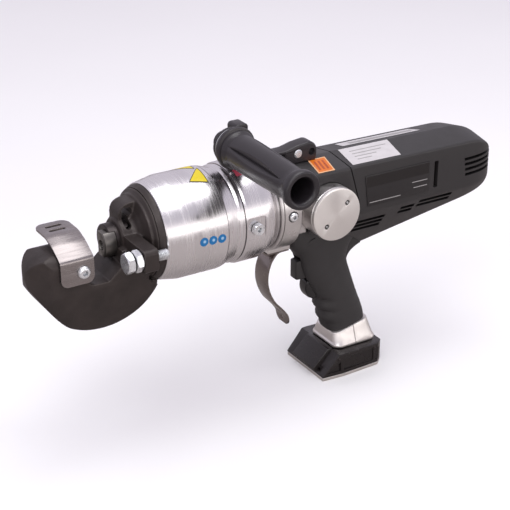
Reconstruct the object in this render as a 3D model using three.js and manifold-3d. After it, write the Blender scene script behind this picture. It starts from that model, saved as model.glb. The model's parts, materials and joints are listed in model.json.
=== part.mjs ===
// Cordless hydraulic bar cutter: a forged C-shaped cutting head screwed into an aluminium
// cylinder, a pump housing with a cross-wise oil reservoir, a black motor housing with a pistol
// grip, and a battery foot. Millimetres, +Z up.
// The ram axis lies along X with the cutting head towards -X. The operator's left side is -Y.
// The whole tool is then shifted so that the origin is the middle of the battery foot's underside.
import * as THREE from "three";
import { mergeVertices } from "three/addons/utils/BufferGeometryUtils.js";
import Module from "manifold-3d";

const wasm = await Module();
wasm.setup();

// ---- Driving dimensions, with the ram axis as y = 0, z = 0 ----
const GAP = 0.3; // clearance between neighbouring pieces
const RUNNING = 0.06; // radial clearance of a sliding or turning fit
const ROUND = 32; // flats round a large turned piece

const CYLINDER_R = 50;
const CYLINDER_FRONT = -158;
const COLLAR_REAR = -150.6; // where the head's dark collar meets the cylinder wall
const CYLINDER_REAR = -28.3;
const BORE_R = 34;
const BORE_END = -42;
const RAM_R = 16;
const RAM_NOSE = -192;
const PISTON_FRONT = -82;
const PISTON_REAR = -62;
const CUTTER_FACE = -198; // front of the moving cutter
const SPIGOT_END = -126; // inner end of the head's threaded tail

const HEAD_X = -204; // centre of the cutting head's round belly
const HEAD_Z = -10.5;
const HEAD_R = 69.5;
const HEAD_NEAR = -26; // flat sides of the cutting head
const HEAD_FAR = 20;
const HEAD_TOP = 6;
const HEAD_ROUNDING = 13;
const HOOK_FACE = -222; // bar opening, hook side
const HUB_FACE = -186; // bar opening, ram side
const THROAT_FLOOR = -28;
const STOP_Y = -51; // stopper bolt axis
const STOP_Z = -1.5;
const LUG_FRONT = -181; // stopper lug, along the tool
const LUG_REAR = -167;

const FLANGE_R = 46.6;
const FLANGE_FRONT = -28;
const FLANGE_REAR = -4.3;
const CAP_X = 32;
const CAP_Z = -6.5;
const CAP_R = 27;
const CAP_FACE = -50;
const CAP_THICKNESS = 4;

const HOUSING_HALF = 33;
const HOUSING_REAR = 252;
const HOUSING_FRONT = -3.5;
const CREASE_TOP = 31; // upper edge of the housing's flat side
const CREASE_LOW = -20.5; // lower edge of the housing's flat side
const RIDGE = 35; // crown of the housing's top
const BELLY = [[70, -70], [229, -29]]; // sloping underside, front and rear ends
const CROWN_FALL = 0.014; // how far the crown drops per millimetre towards the rear
const WALL = 3;
const SEAM_TOP = 59; // joint between front cover and motor housing, at the upper edge
const SEAM_RAKE = 0.4; // how far the joint runs back per millimetre down

const MOTOR_Z = 3;
const GEAR_MODULE = 1;
const PINION_TEETH = 9;
const GEAR_TEETH = 27;
const GEAR_Z = MOTOR_Z - (GEAR_MODULE * (PINION_TEETH + GEAR_TEETH)) / 2 - 0.15;
const SHAFT_R = 6;
const PLUNGER_X = 8;

const HANDLE_X = -64;
const HANDLE_Z = 71.5;
const HANDLE_ROOT = -18;
const HANDLE_END = -135;

const GRIP_HALF = 17;
const GRIP_NECK = -78; // below this height the grip is rounded all along
const GRIP_MIDDLE = -92;
const GRIP_RAKE = 0.364; // how far the grip runs back per millimetre down
const COLLAR_BOTTOM = -173.7;
const FOOT_TOP = -174;
const FOOT_PLATE = -196.5; // top of the foot's base plate
const FOOT_BOTTOM = -200;
const FOOT_X = 66; // the origin of the finished tool lies here, under the foot

// ---- Materials ----
const finish = (colour, roughness, metalness) =>
  new THREE.MeshStandardMaterial({ color: colour, roughness, metalness });
const FORGED = () => finish(0x3d3533, 0.55, 0.6);
const TURNED_ALUMINIUM = () => finish(0xc9c7c6, 0.28, 0.9);
const CAST_ALUMINIUM = () => finish(0xb9b5b1, 0.4, 0.85);
const SATIN_ALUMINIUM = () => finish(0xc4bfba, 0.38, 0.8);
const STAINLESS = () => finish(0x9c9590, 0.35, 0.9);
const ZINC = () => finish(0xc6ccd0, 0.3, 0.9);
const TOOL_STEEL = () => finish(0x6b6664, 0.35, 0.9);
const BLACK_PLASTIC = () => finish(0x2b2a2b, 0.6, 0.0);
const GLOSS_PLASTIC = () => finish(0x232223, 0.3, 0.0);
const RUBBER = () => finish(0x1c1c1c, 0.8, 0.0);
const COPPER_IRON = () => finish(0x8a5a3a, 0.5, 0.7);
const BOARD_GREEN = () => finish(0x27553a, 0.6, 0.0);

// ---- Solids ----
// A closed three.js geometry as a manifold solid, with its faces turned outwards.
function solid(geometry, matrix) {
  const plain = geometry.clone();
  plain.deleteAttribute("normal");
  plain.deleteAttribute("uv");
  if (matrix) plain.applyMatrix4(matrix);
  const merged = mergeVertices(plain, 1e-4);
  const vertProperties = new Float32Array(merged.attributes.position.array);
  const triVerts = new Uint32Array(merged.index.array);
  const body = new wasm.Manifold(new wasm.Mesh({ numProp: 3, vertProperties, triVerts }));
  if (body.volume() > 0) return body;
  return new wasm.Manifold(new wasm.Mesh({ numProp: 3, vertProperties, triVerts: triVerts.toReversed() }));
}

// A manifold solid as a named three.js mesh.
function mesh(name, material, body) {
  const data = body.getMesh();
  const geometry = new THREE.BufferGeometry();
  geometry.setAttribute("position", new THREE.BufferAttribute(data.vertProperties, 3));
  geometry.setIndex(new THREE.BufferAttribute(data.triVerts, 1));
  geometry.computeVertexNormals();
  const result = new THREE.Mesh(geometry, material);
  result.name = name;
  return result;
}

const join = (first, ...others) => others.reduce((all, next) => all.add(next), first);
const cut = (first, ...others) => others.reduce((all, next) => all.subtract(next), first);

const AXES = {
  x: new THREE.Matrix4().makeRotationZ(-Math.PI / 2),
  y: new THREE.Matrix4(),
  z: new THREE.Matrix4().makeRotationX(Math.PI / 2),
};

// A cylinder along an axis, from one coordinate on it to the other, through the given centre.
function rod(axis, radius, from, to, centre = [0, 0], segments = 16) {
  const geometry = new THREE.CylinderGeometry(radius, radius, to - from, segments);
  geometry.applyMatrix4(AXES[axis]);
  const middle = (from + to) / 2;
  const [a, b] = centre;
  const place = { x: [middle, a, b], y: [a, middle, b], z: [a, b, middle] }[axis];
  return solid(geometry, new THREE.Matrix4().makeTranslation(...place));
}

const hexagon = (axis, acrossFlats, from, to, centre) =>
  rod(axis, acrossFlats / Math.sqrt(3), from, to, centre, 6);

function box(x0, x1, y0, y1, z0, z1) {
  const geometry = new THREE.BoxGeometry(x1 - x0, y1 - y0, z1 - z0);
  const middle = [(x0 + x1) / 2, (y0 + y1) / 2, (z0 + z1) / 2];
  return solid(geometry, new THREE.Matrix4().makeTranslation(...middle));
}

// A turned piece from [along the axis, radius] points, which start and end on the axis or close.
function turned(axis, points, centre = [0, 0], segments = ROUND) {
  const profile = points.map(([along, radius]) => new THREE.Vector2(radius, along));
  const geometry = new THREE.LatheGeometry(profile, segments);
  geometry.applyMatrix4(AXES[axis]);
  const [a, b] = centre;
  const place = { x: [0, a, b], y: [a, 0, b], z: [a, b, 0] }[axis];
  return solid(geometry, new THREE.Matrix4().makeTranslation(...place));
}

// A ring along an axis.
const ring = (axis, outer, inner, from, to, centre, segments = 24) =>
  cut(rod(axis, outer, from, to, centre, segments), rod(axis, inner, from - 1, to + 1, centre, segments));

function outline(points) {
  return new THREE.Shape(points.map(([a, b]) => new THREE.Vector2(a, b)));
}

// The same outline with its curves as points and no point repeated.
function tidied(shape, curveSegments) {
  const points = shape.getPoints(curveSegments);
  return new THREE.Shape(points.filter((p, i) => p.distanceTo(points[(i || points.length) - 1]) > 0.01));
}

const ACROSS_Y = new THREE.Matrix4().makeBasis(
  new THREE.Vector3(1, 0, 0),
  new THREE.Vector3(0, 0, 1),
  new THREE.Vector3(0, -1, 0),
);
const ACROSS_X = new THREE.Matrix4().makeBasis(
  new THREE.Vector3(0, 1, 0),
  new THREE.Vector3(0, 0, 1),
  new THREE.Vector3(1, 0, 0),
);

// A plate whose outline is drawn in x and z, from y0 to y1, with optional rounded edges.
function plateY(shape, y0, y1, bevel = 0, curveSegments = 2) {
  const geometry = new THREE.ExtrudeGeometry(tidied(shape, curveSegments), {
    depth: y1 - y0 - 2 * bevel,
    bevelEnabled: bevel > 0,
    bevelSize: bevel,
    bevelThickness: bevel,
    bevelOffset: -bevel,
    bevelSegments: 1,
  });
  const place = new THREE.Matrix4().makeTranslation(0, y1 - bevel, 0).multiply(ACROSS_Y);
  return solid(geometry, place);
}

// A plate whose outline is drawn in y and z, from x0 to x1.
function plateX(shape, x0, x1, curveSegments = 2) {
  const geometry = new THREE.ExtrudeGeometry(tidied(shape, curveSegments), { depth: x1 - x0,
    bevelEnabled: false });
  return solid(geometry, new THREE.Matrix4().makeTranslation(x0, 0, 0).multiply(ACROSS_X));
}

// A plate whose outline is drawn in x and y, from z0 to z1.
function plateZ(shape, z0, z1, curveSegments = 2) {
  const geometry = new THREE.ExtrudeGeometry(tidied(shape, curveSegments), { depth: z1 - z0,
    bevelEnabled: false });
  return solid(geometry, new THREE.Matrix4().makeTranslation(0, 0, z0));
}

// A rectangle with rounded corners.
function roundedRectangle(a0, a1, b0, b1, radius) {
  const shape = new THREE.Shape();
  shape.moveTo(a0 + radius, b0);
  shape.lineTo(a1 - radius, b0);
  shape.absarc(a1 - radius, b0 + radius, radius, -Math.PI / 2, 0);
  shape.absarc(a1 - radius, b1 - radius, radius, 0, Math.PI / 2);
  shape.absarc(a0 + radius, b1 - radius, radius, Math.PI / 2, Math.PI);
  shape.absarc(a0 + radius, b0 + radius, radius, Math.PI, 1.5 * Math.PI);
  return shape;
}

// A flat strip of the given thickness that follows a path, as a closed outline.
function strip(path, thickness) {
  const offset = (side) =>
    path.map(([a, b], i) => {
      const [pa, pb] = path[Math.max(i - 1, 0)];
      const [na, nb] = path[Math.min(i + 1, path.length - 1)];
      const before = Math.atan2(b - pb, a - pa);
      const after = Math.atan2(nb - b, na - a);
      const first = i === 0 ? after : before;
      const last = i === path.length - 1 ? before : after;
      const middle = (first + last) / 2;
      const reach = (side * thickness) / 2 / Math.cos((last - first) / 2);
      return [a - Math.sin(middle) * reach, b + Math.cos(middle) * reach];
    });
  return outline([...offset(1), ...offset(-1).reverse()]);
}

// A straight-toothed gear along x.
function gear(teeth, x0, x1, z) {
  const pitchR = (GEAR_MODULE * teeth) / 2;
  const tip = pitchR + 0.7 * GEAR_MODULE;
  const root = pitchR - 1.1 * GEAR_MODULE;
  const step = (2 * Math.PI) / teeth;
  const points = [];
  for (let i = 0; i < teeth; i++) {
    const corners = [[-0.34, root], [-0.12, tip], [0.12, tip], [0.34, root]];
    for (const [share, radius] of corners) {
      const angle = (i + share) * step;
      points.push([radius * Math.cos(angle), radius * Math.sin(angle)]);
    }
  }
  return plateX(outline(points), x0, x1).translate([0, 0, z]);
}

const tool = new THREE.Group();
tool.name = "hydraulic_bar_cutter";
const add = (name, material, body) => tool.add(mesh(name, material, body));

// ---- Cutting head ----
function headPlate() {
  const shape = new THREE.Shape();
  const front = HEAD_X - HEAD_R;
  const start = THREE.MathUtils.degToRad(-28);
  shape.absarc(HEAD_X, HEAD_Z, HEAD_R, start, THREE.MathUtils.degToRad(-112), true);
  shape.quadraticCurveTo(front + 27.5, -68.4, front + 0.6, -24);
  shape.quadraticCurveTo(front - 1.6, 2, front + 21.5, HEAD_TOP);
  shape.lineTo(HOOK_FACE - 12, HEAD_TOP);
  shape.lineTo(HOOK_FACE, HEAD_TOP - 6);
  shape.lineTo(HOOK_FACE, THROAT_FLOOR + 9);
  shape.absarc(HOOK_FACE + 9, THROAT_FLOOR + 9, 9, Math.PI, 1.5 * Math.PI, false);
  shape.lineTo(HUB_FACE - 14, THROAT_FLOOR);
  shape.lineTo(HUB_FACE, THROAT_FLOOR + 12);
  shape.lineTo(HUB_FACE, -2);
  shape.lineTo(CYLINDER_FRONT - 2, 4);
  shape.lineTo(CYLINDER_FRONT - 2, HEAD_Z + HEAD_R * Math.sin(start) + 2);
  const half = (HEAD_FAR - HEAD_NEAR) / 2;
  const belly = turned("y", roundedRim(HEAD_R, half, HEAD_ROUNDING), [HEAD_X, HEAD_Z])
    .translate([0, HEAD_NEAR + half, 0]);
  const roundedTop = plateX(
    roundedRectangle(HEAD_NEAR, HEAD_FAR, HEAD_Z - HEAD_R - 9, HEAD_TOP, HEAD_ROUNDING - 1), -280, -150,
  );
  const cylinderNose = rod("x", CYLINDER_R + 1, COLLAR_REAR - GAP, -130, [0, 0], ROUND);
  const plate = plateY(shape, HEAD_NEAR, HEAD_FAR, 0, 4).intersect(belly).intersect(roundedTop);
  return cut(plate, cylinderNose);
}

// The profile of a disc with a rounded rim, for turning.
function roundedRim(radius, half, rounding) {
  const arc = [0, 1, 2, 3].map((i) => {
    const angle = (i * Math.PI) / 6;
    return [half - rounding + rounding * Math.sin(angle), radius - rounding + rounding * Math.cos(angle)];
  });
  return [[half, 0], ...arc.toReversed(), ...arc.map(([along, r]) => [-along, r]), [-half, 0]];
}

function headFin() {
  const shape = new THREE.Shape();
  const left = -180;
  const top = 36;
  const corner = 11.5;
  shape.moveTo(left, 10);
  shape.lineTo(left, top - corner);
  shape.absarc(left + corner, top - corner, corner, Math.PI, Math.PI / 2, true);
  shape.lineTo(CYLINDER_FRONT - 1, top);
  shape.lineTo(CYLINDER_FRONT - 1, 10);
  return plateY(shape, -6, 12);
}

function stopperLug() {
  const lug = plateX(roundedRectangle(STOP_Y - 10, -18, STOP_Z - 11, STOP_Z + 11, 5), LUG_FRONT, LUG_REAR);
  return cut(lug, rod("x", 5 + RUNNING, LUG_FRONT - 1, LUG_REAR + 1, [STOP_Y, STOP_Z]));
}

function cutterHead() {
  const hub = turned("x", [
    [-182, 0], [-182, 18.5], [-180, 20.5], [-171, 20.5], [-167.5, 22.5], [-164.5, 29], [-162, 38],
      [-160, 38.6],
    [CYLINDER_FRONT, 42], [-153.5, 44.4], [COLLAR_REAR - GAP, 45.4], [COLLAR_REAR - GAP, BORE_R - 0.1],
    [SPIGOT_END, BORE_R - 0.1], [SPIGOT_END, 0],
  ]);
  const keyhole = join(
    plateY(roundedRectangle(-177.5, -170.5, 14, 32.5, 3.4), -10, 16),
    rod("y", 5, -10, 16, [-171, 26.5], 16),
  );
  const cutterPocket = box(HOOK_FACE - 8, HOOK_FACE + 1, 0, 15, -15, HEAD_TOP - 3);
  const ramBore = rod("x", RAM_R + RUNNING, -200, SPIGOT_END + 1, [0, 0], ROUND);
  const guardHole = rod("y", 2.6, -27, -12, [-226, -11], 12);
  const retainerHole = rod("y", 2.6, 0, 27, [HOOK_FACE - 4, -6]);
  const blank = join(headPlate(), hub, headFin(), stopperLug());
  return cut(blank, ramBore, keyhole, cutterPocket, guardHole, retainerHole);
}

// A cutter block with a sloping ground edge towards the bar.
function cutterBlock(edge, back, y0, y1, z0, z1) {
  const middle = (z0 + z1) / 2;
  const shape = outline([[back, z0], [edge, z0], [edge, middle - 5], [edge + (back - edge) * 0.3, middle],
    [edge, middle + 5], [edge, z1], [back, z1]]);
  return plateY(shape, y0, y1);
}

function movingCutter() {
  const disc = rod("x", RAM_R - 0.5, CUTTER_FACE, RAM_NOSE + 6, [0, 0], 32);
  const kept = box(CUTTER_FACE - 1, RAM_NOSE + 6.1, -20, -GAP, -11, 12);
  return disc.intersect(kept);
}

function ram() {
  const barrel = rod("x", RAM_R, RAM_NOSE, PISTON_FRONT + 1, [0, 0], ROUND);
  const piston = rod("x", BORE_R - RUNNING, PISTON_FRONT, PISTON_REAR, [0, 0], ROUND);
  const groove = ring("x", BORE_R + 1, BORE_R - 4, -75, -69, [0, 0], ROUND);
  const pocket = box(RAM_NOSE - 1, RAM_NOSE + 6.4, -20, 0, -11.4, 12.4);
  const screwHole = rod("x", 3.1, RAM_NOSE, RAM_NOSE + 22, [-7, 0]);
  return cut(join(barrel, piston), groove, pocket, screwHole);
}

add("cutter_head", FORGED(), cutterHead());
add("fixed_cutter", TOOL_STEEL(), cutterBlock(-214.8, HOOK_FACE - 7.7, GAP, 14.7, -14, HEAD_TOP - 4));
add("moving_cutter", TOOL_STEEL(), cut(movingCutter(), rod("x", 3.3, -200, -180, [-7, 0])));
add("moving_cutter_screw", ZINC(), rod("x", 3, RAM_NOSE - 3, RAM_NOSE + 20, [-7, 0], 16));
add("fixed_cutter_screw", ZINC(), turned("y", [
  [15.2, 0], [15.2, 2.5], [HEAD_FAR + GAP, 2.5], [HEAD_FAR + GAP, 4.5], [HEAD_FAR + 2.5, 4.5],
    [HEAD_FAR + 3, 3.5],
  [HEAD_FAR + 3, 0],
], [HOOK_FACE - 4, -6], 12));
add("ram", TOOL_STEEL(), ram());
add("piston_seal", RUBBER(), ring("x", BORE_R - 0.1, BORE_R - 3.8, -74.7, -69.3, [0, 0], ROUND));

// ---- Guard plate over the hook ----
function guard() {
  const path = [[-27.4, -22.8], [-27.4, 1.5], [-16, 8.4], [-11.5, 11], [2, 15.5], [30, 15.5]];
  const bent = plateX(strip(path, 2), -248, -215.5);
  const frontView = plateY(roundedRectangle(-248, -215.5, -22.8, 40, 7), -40, 40);
  const planView = plateZ(roundedRectangle(-248, -215.5, -60, 30, 9), -40, 40);
  const slots = [11.5, 20.5].map((y) => box(-240, -224, y - 1.9, y + 1.9, 10, 20));
  return cut(bent.intersect(frontView).intersect(planView), rod("y", 2.8, -30, -25, [-226, -11]), ...slots);
}

add("cutter_guard", STAINLESS(), guard());
add("guard_screw", ZINC(), turned("y", [
  [-32.4, 0], [-32.4, 4], [-31, 5.8], [-28.7, 6.2], [-28.7, 2.5], [-14, 2.5], [-14, 0],
], [-226, -11], 24));

// ---- Stopper bolt that steadies the bar ----
function boltAlongX(head0, head1, acrossFlats, shankR, end) {
  const bolt = join(
    hexagon("x", acrossFlats, head0, head1, [STOP_Y, STOP_Z]),
    rod("x", shankR, head1 - 0.1, end, [STOP_Y, STOP_Z]),
  );
  const corners = turned("x", [
    [head0 - 0.1, 0], [head0 - 0.1, acrossFlats * 0.48], [head0 + 1.5, acrossFlats * 0.6], [end + 1,
      acrossFlats * 0.6],
    [end + 1, 0],
  ], [STOP_Y, STOP_Z], 24);
  return bolt.intersect(corners);
}

add("stopper_bolt", ZINC(), boltAlongX(-196.5, -189.5, 18, 5, -153.5));
add("stopper_locknut", ZINC(), cut(
  hexagon("x", 18, -188, LUG_FRONT - GAP, [STOP_Y, STOP_Z]),
  rod("x", 5 + RUNNING, -189, LUG_FRONT, [STOP_Y, STOP_Z]),
));

// ---- Cylinder ----
function cylinderBody() {
  const wallOutside = [
    [COLLAR_REAR, 45.6], [-130, CYLINDER_R], [-89.4, CYLINDER_R], [-88.6, CYLINDER_R - 0.8],
    [-87.8, CYLINDER_R - 0.3], [-77, 46.5], [-75, 46.5], [-72, 48], [-69.6, 48], [-69, 47.4], [-66, 49.5],
    [-44, 49.5], [-36, 46], [-31, 43], [CYLINDER_REAR, 43],
  ];
  const inside = [
    [CYLINDER_REAR, 6], [BORE_END, 6], [BORE_END, BORE_R], [COLLAR_REAR, BORE_R],
  ];
  const body = turned("x", [...wallOutside, ...inside, wallOutside[0]]);
  const flat = box(-68, -48, -60, -48.2, -11, 11);
  const valveBore = rod("y", 4 + RUNNING, -50, -40, [-58, 0], 24);
  return cut(body, flat, valveBore);
}

add("cylinder_body", TURNED_ALUMINIUM(), cylinderBody());
add("rod_seal", RUBBER(), ring("x", BORE_R - 0.3, RAM_R + 0.3, SPIGOT_END + GAP, SPIGOT_END + 5, [0,
  0], ROUND));
add("release_valve", ZINC(), cut(join(
  hexagon("y", 11, -54, -48.6, [-58, 0]),
  rod("y", 4, -48.7, -40.6, [-58, 0], 24),
), hexagon("y", 4, -55, -51, [-58, 0])));

// The return spring as one wire wound along x.
class Helix extends THREE.Curve {
  constructor(radius, from, to, turns) {
    super();
    Object.assign(this, { radius, from, to, turns });
  }
  getPoint(t, target = new THREE.Vector3()) {
    const angle = 2 * Math.PI * this.turns * t;
    const along = this.from + (this.to - this.from) * t;
    return target.set(along, this.radius * Math.cos(angle), this.radius * Math.sin(angle));
  }
}

function wire(curve, wireR, steps, sides) {
  const round = outline(Array.from({ length: sides }, (_, i) => {
    const angle = (2 * Math.PI * i) / sides;
    return [wireR * Math.cos(angle), wireR * Math.sin(angle)];
  }));
  return solid(new THREE.ExtrudeGeometry(round, { extrudePath: curve, steps, bevelEnabled: false }));
}

const SPRING_WIRE = 1.6;
add("return_spring", TOOL_STEEL(), wire(
  new Helix(24, SPIGOT_END + 5 + GAP + SPRING_WIRE, PISTON_FRONT - GAP - SPRING_WIRE, 5), SPRING_WIRE, 60, 5,
));

// ---- Pump housing with its cross-wise oil reservoir ----
function pumpCase() {
  const flange = turned("x", [
    [FLANGE_FRONT, 0], [FLANGE_FRONT, FLANGE_R], [-26.2, FLANGE_R], [-25.7, FLANGE_R - 0.8], [-25.2,
      FLANGE_R],
    [FLANGE_REAR - 2, FLANGE_R], [FLANGE_REAR, FLANGE_R - 2], [FLANGE_REAR, 0],
  ]);
  const block = box(FLANGE_REAR - 1, 14.7, -HOUSING_HALF, HOUSING_HALF, -31, 21.4);
  const bearingBoss = box(14, 24, -16, 16, -30, 21.4);
  const saddle = box(-24, 2, -14, 14, -50, -30);
  const pot = rod("y", CAP_R, CAP_FACE + CAP_THICKNESS + GAP, -17.5, [CAP_X, CAP_Z], ROUND);
  const potBore = rod("y", CAP_R - 4, CAP_FACE, -21, [CAP_X, CAP_Z], 24);
  const gearChamber = rod("x", 13, 0, 25, [0, GEAR_Z], 24);
  const plungerBore = rod("z", 4 + RUNNING, GEAR_Z, 20, [PLUNGER_X, 0]);
  const valvePocket = rod("x", 5.1, FLANGE_FRONT - 1, -6, [0, 10]);
  const passage = rod("x", 1.6, -7, PLUNGER_X - 2, [0, 10], 12);
  const suction = rod("y", 2, -23, 0, [12, -6], 12);
  const screwHoles = [0, 120, 240].map((turn) => {
    const angle = THREE.MathUtils.degToRad(turn);
    return rod("y", 2.6, -60, -20, [-16, 1]).rotate([turn, 0, 0]);
  });
  const plugHole = rod("y", 4.1, 20, 40, [8, 10]);
  const bracketHole = rod("z", 2.6, 8, 25, [16, 0]);
  const strapHole = rod("z", 2.6, -52, -42, [-3, 0]);
  return cut(join(flange, block, bearingBoss, saddle, pot), potBore, gearChamber, plungerBore,
    valvePocket, passage, suction,
    plugHole, bracketHole, strapHole, ...screwHoles);
}

// The three screws round the flange, numbered from the one on the operator's left.
function flangeScrew(turn) {
  const screw = turned("y", [
    [-FLANGE_R - 2.6, 0], [-FLANGE_R - 2.2, 3], [-FLANGE_R - GAP, 4.4], [-FLANGE_R - GAP, 2.5], [-34,
      2.5], [-34, 0],
  ], [-16, 1], 12);
  return screw.rotate([turn, 0, 0]);
}

function reservoirCap() {
  const disc = turned("y", [
    [CAP_FACE, 0], [CAP_FACE, CAP_R - 0.8], [CAP_FACE + 0.8, CAP_R], [CAP_FACE + CAP_THICKNESS, CAP_R],
    [CAP_FACE + CAP_THICKNESS, CAP_R - 4.2], [CAP_FACE + 9, CAP_R - 4.2], [CAP_FACE + 9, 0],
  ], [CAP_X, CAP_Z], ROUND);
  const spannerHoles = [1, -1].map((side) =>
    rod("y", 1.9, CAP_FACE - 1, CAP_FACE + 3, [CAP_X + side * 11.6, CAP_Z + side * 10.2], 16));
  return cut(disc, ...spannerHoles);
}

add("pump_case", CAST_ALUMINIUM(), pumpCase());
["left", "top", "right"].forEach((where, i) => add(`flange_screw_${where}`, ZINC(), flangeScrew(-120 * i)));
add("reservoir_cap", SATIN_ALUMINIUM(), reservoirCap());
add("reservoir_bladder", RUBBER(), turned("y", [
  [-40.4, 0], [-40.4, CAP_R - 6], [-23, CAP_R - 6], [-23, CAP_R - 8], [-38, CAP_R - 8], [-38, 0],
], [CAP_X, CAP_Z], 32));
add("oil_fill_plug", ZINC(), cut(join(
  hexagon("y", 12, HOUSING_HALF + GAP, HOUSING_HALF + 4, [8, 10]),
  rod("y", 4, 24, HOUSING_HALF + 0.5, [8, 10]),
), hexagon("y", 5, HOUSING_HALF + 1.5, HOUSING_HALF + 5, [8, 10])));
add("check_valve", TOOL_STEEL(), turned("x", [
  [-27, 0], [-27, 5], [-9, 5], [-9, 4], [-7, 2.5], [-7, 0],
], [0, 10], 12));
add("pump_plunger", TOOL_STEEL(), rod("z", 4, GEAR_Z + 10.9, 12, [PLUNGER_X, 0]));

// ---- Eccentric shaft and reduction gear ----
function eccentricShaft() {
  const shaft = rod("x", SHAFT_R, 3, 66, [0, GEAR_Z], 24);
  const lobe = rod("x", 9, 4, 12, [0, GEAR_Z + 1.5], 24);
  return join(shaft, lobe);
}

add("eccentric_shaft", TOOL_STEEL(), eccentricShaft());
add("eccentric_bearing", TOOL_STEEL(), ring("x", 13 - 0.1, SHAFT_R + RUNNING, 14, 23, [0, GEAR_Z], 24));
add("reduction_gear", TOOL_STEEL(), cut(
  gear(GEAR_TEETH, 55, 63, GEAR_Z),
  rod("x", SHAFT_R + RUNNING, 54, 64, [0, GEAR_Z], 24),
));

// ---- Side handle and its bracket ----
const LUG_SCREW = [13, 46.5]; // screw on the near side of the bracket's rear lug

function handleBracket() {
  const boss = turned("y", [
    [HANDLE_ROOT + GAP, 0], [HANDLE_ROOT + GAP, 18.5], [-8.8, 18], [-8.8, 10], [4, 10], [4, 0],
  ], [HANDLE_X, HANDLE_Z], 24);
  const ear = plateY(roundedRectangle(-57, -43, 70, 88.5, 3), -9, 7);
  const armShape = new THREE.Shape();
  armShape.moveTo(-68, 57.5);
  armShape.lineTo(-58, 52);
  armShape.lineTo(-40, 50.5);
  armShape.lineTo(-26, 48);
  armShape.lineTo(-2, 48);
  armShape.lineTo(0, 36);
  armShape.lineTo(34, 36);
  armShape.lineTo(35, 44);
  armShape.absarc(25, 46.5, 10, 0, Math.PI / 2, false);
  armShape.lineTo(12, 55);
  armShape.lineTo(0, 52);
  armShape.lineTo(-24, 51.8);
  armShape.lineTo(-42, 57);
  armShape.lineTo(-50, 72);
  const arm = plateY(armShape, -9, 7);
  const studHole = rod("y", 6 + RUNNING, HANDLE_ROOT - 1, 2, [HANDLE_X, HANDLE_Z]);
  const eyelet = rod("y", 3.6, -10, 10, [28.5, 46], 16);
  const footHole = rod("z", 2.8, 34, 42.3, [16, 0]);
  const screwHole = rod("y", 2.7, -10, 4.5, LUG_SCREW);
  const screwSeat = rod("y", 4.8, -10, -7.6, LUG_SCREW);
  return cut(join(boss, ear, arm), studHole, eyelet, footHole, screwHole, screwSeat);
}

function sideHandle() {
  const profile = [
    [HANDLE_ROOT, 6 + RUNNING], [HANDLE_ROOT, 20], [-22, 20.5], [-25, 18], [-29, 16.2], [-36, 16.8],
      [-70, 17],
    [-118, 15.2], [-122, 15.2], [-126, 17.4], [-132, 18], [HANDLE_END, 16.6], [HANDLE_END, 12.2],
      [-133, 11.4],
    [-56, 11.4], [-56, 6 + RUNNING],
  ];
  return turned("y", [...profile, profile[0]], [HANDLE_X, HANDLE_Z], 24);
}

add("handle_bracket", BLACK_PLASTIC(), handleBracket());
add("bracket_stud", ZINC(), rod("z", 2.5, 12, 42, [16, 0], 12));
add("bracket_screw", ZINC(), turned("y", [
  [-9.8, 0], [-9.8, 3.4], [-9, 4.4], [-7.6 - GAP, 4.4], [-7.6 - GAP, 2.4], [4, 2.4], [4, 0],
], LUG_SCREW, 16));
add("side_handle", BLACK_PLASTIC(), sideHandle());
add("handle_stud", ZINC(), join(
  rod("y", 6, -64, 1.7, [HANDLE_X, HANDLE_Z]),
  rod("y", 8.5, -64, -56.5, [HANDLE_X, HANDLE_Z]),
));

// ---- Front cover and motor housing ----
// The housing as a solid, shrunk all round by the given amount.
function housingBody(inset) {
  const side = HOUSING_HALF - inset;
  const [[frontX, frontZ], [rearX, rearZ]] = BELLY;
  const rise = (CREASE_LOW - frontZ) / Math.tan(Math.PI / 3);
  const section = outline([
    [-side, CREASE_TOP - inset], [0, RIDGE - inset], [side, CREASE_TOP - inset], [side,
      CREASE_LOW + inset * 0.6],
    [side - rise, frontZ + inset * 0.6], [rise - side, frontZ + inset * 0.6], [-side,
      CREASE_LOW + inset * 0.6],
  ]);
  const x1 = HOUSING_REAR - inset;
  const crown = outline([
    [-side, CREASE_TOP - inset], [0, RIDGE - inset], [side, CREASE_TOP - inset], [side, -90], [-side, -90],
  ]);
  const lowering = [1, 0, -CROWN_FALL, 0, 0, 1, 0, 0, 0, 0, 1, 0, 0, 0, CROWN_FALL * SEAM_TOP, 1];
  const fallingCrown = plateX(crown, HOUSING_FRONT - 20, x1).transform(lowering);
  const hull = plateX(section, HOUSING_FRONT + inset, x1).intersect(fallingCrown);
  const slope = (rearZ - frontZ) / (rearX - frontX);
  const below = (x) => frontZ + slope * (x - frontX) + inset;
  const elevation = new THREE.Shape();
  elevation.moveTo(-20, -71);
  elevation.lineTo(frontX, below(frontX));
  elevation.lineTo(x1 - 30, below(x1 - 30));
  elevation.quadraticCurveTo(x1 - 4, below(x1 - 30) + 6, x1, below(x1) + 11);
  elevation.quadraticCurveTo(x1 - 1, RIDGE - inset - 17, x1 - 32, RIDGE - inset - 5);
  elevation.lineTo(x1 - 48, RIDGE + 1);
  elevation.lineTo(-20, RIDGE + 1);
  const plan = new THREE.Shape();
  plan.moveTo(-80, -side);
  plan.lineTo(x1 - 44, -side);
  plan.quadraticCurveTo(x1 - 3, -side, x1, 24 - side);
  plan.lineTo(x1, side - 24);
  plan.quadraticCurveTo(x1 - 3, side, x1 - 44, side);
  plan.lineTo(-80, side);
  return hull.intersect(plateY(elevation, -40, 40)).intersect(plateZ(plan, -80, 40, 5));
}

// Everything ahead of the raked joint between cover and motor housing, moved back by an amount.
function aheadOfSeam(back) {
  const at = (z) => SEAM_TOP + back + SEAM_RAKE * (CREASE_TOP - z);
  return plateY(outline([[-30, 60], [at(60), 60], [at(-90), -90], [-30, -90]]), -60, 60);
}

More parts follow.
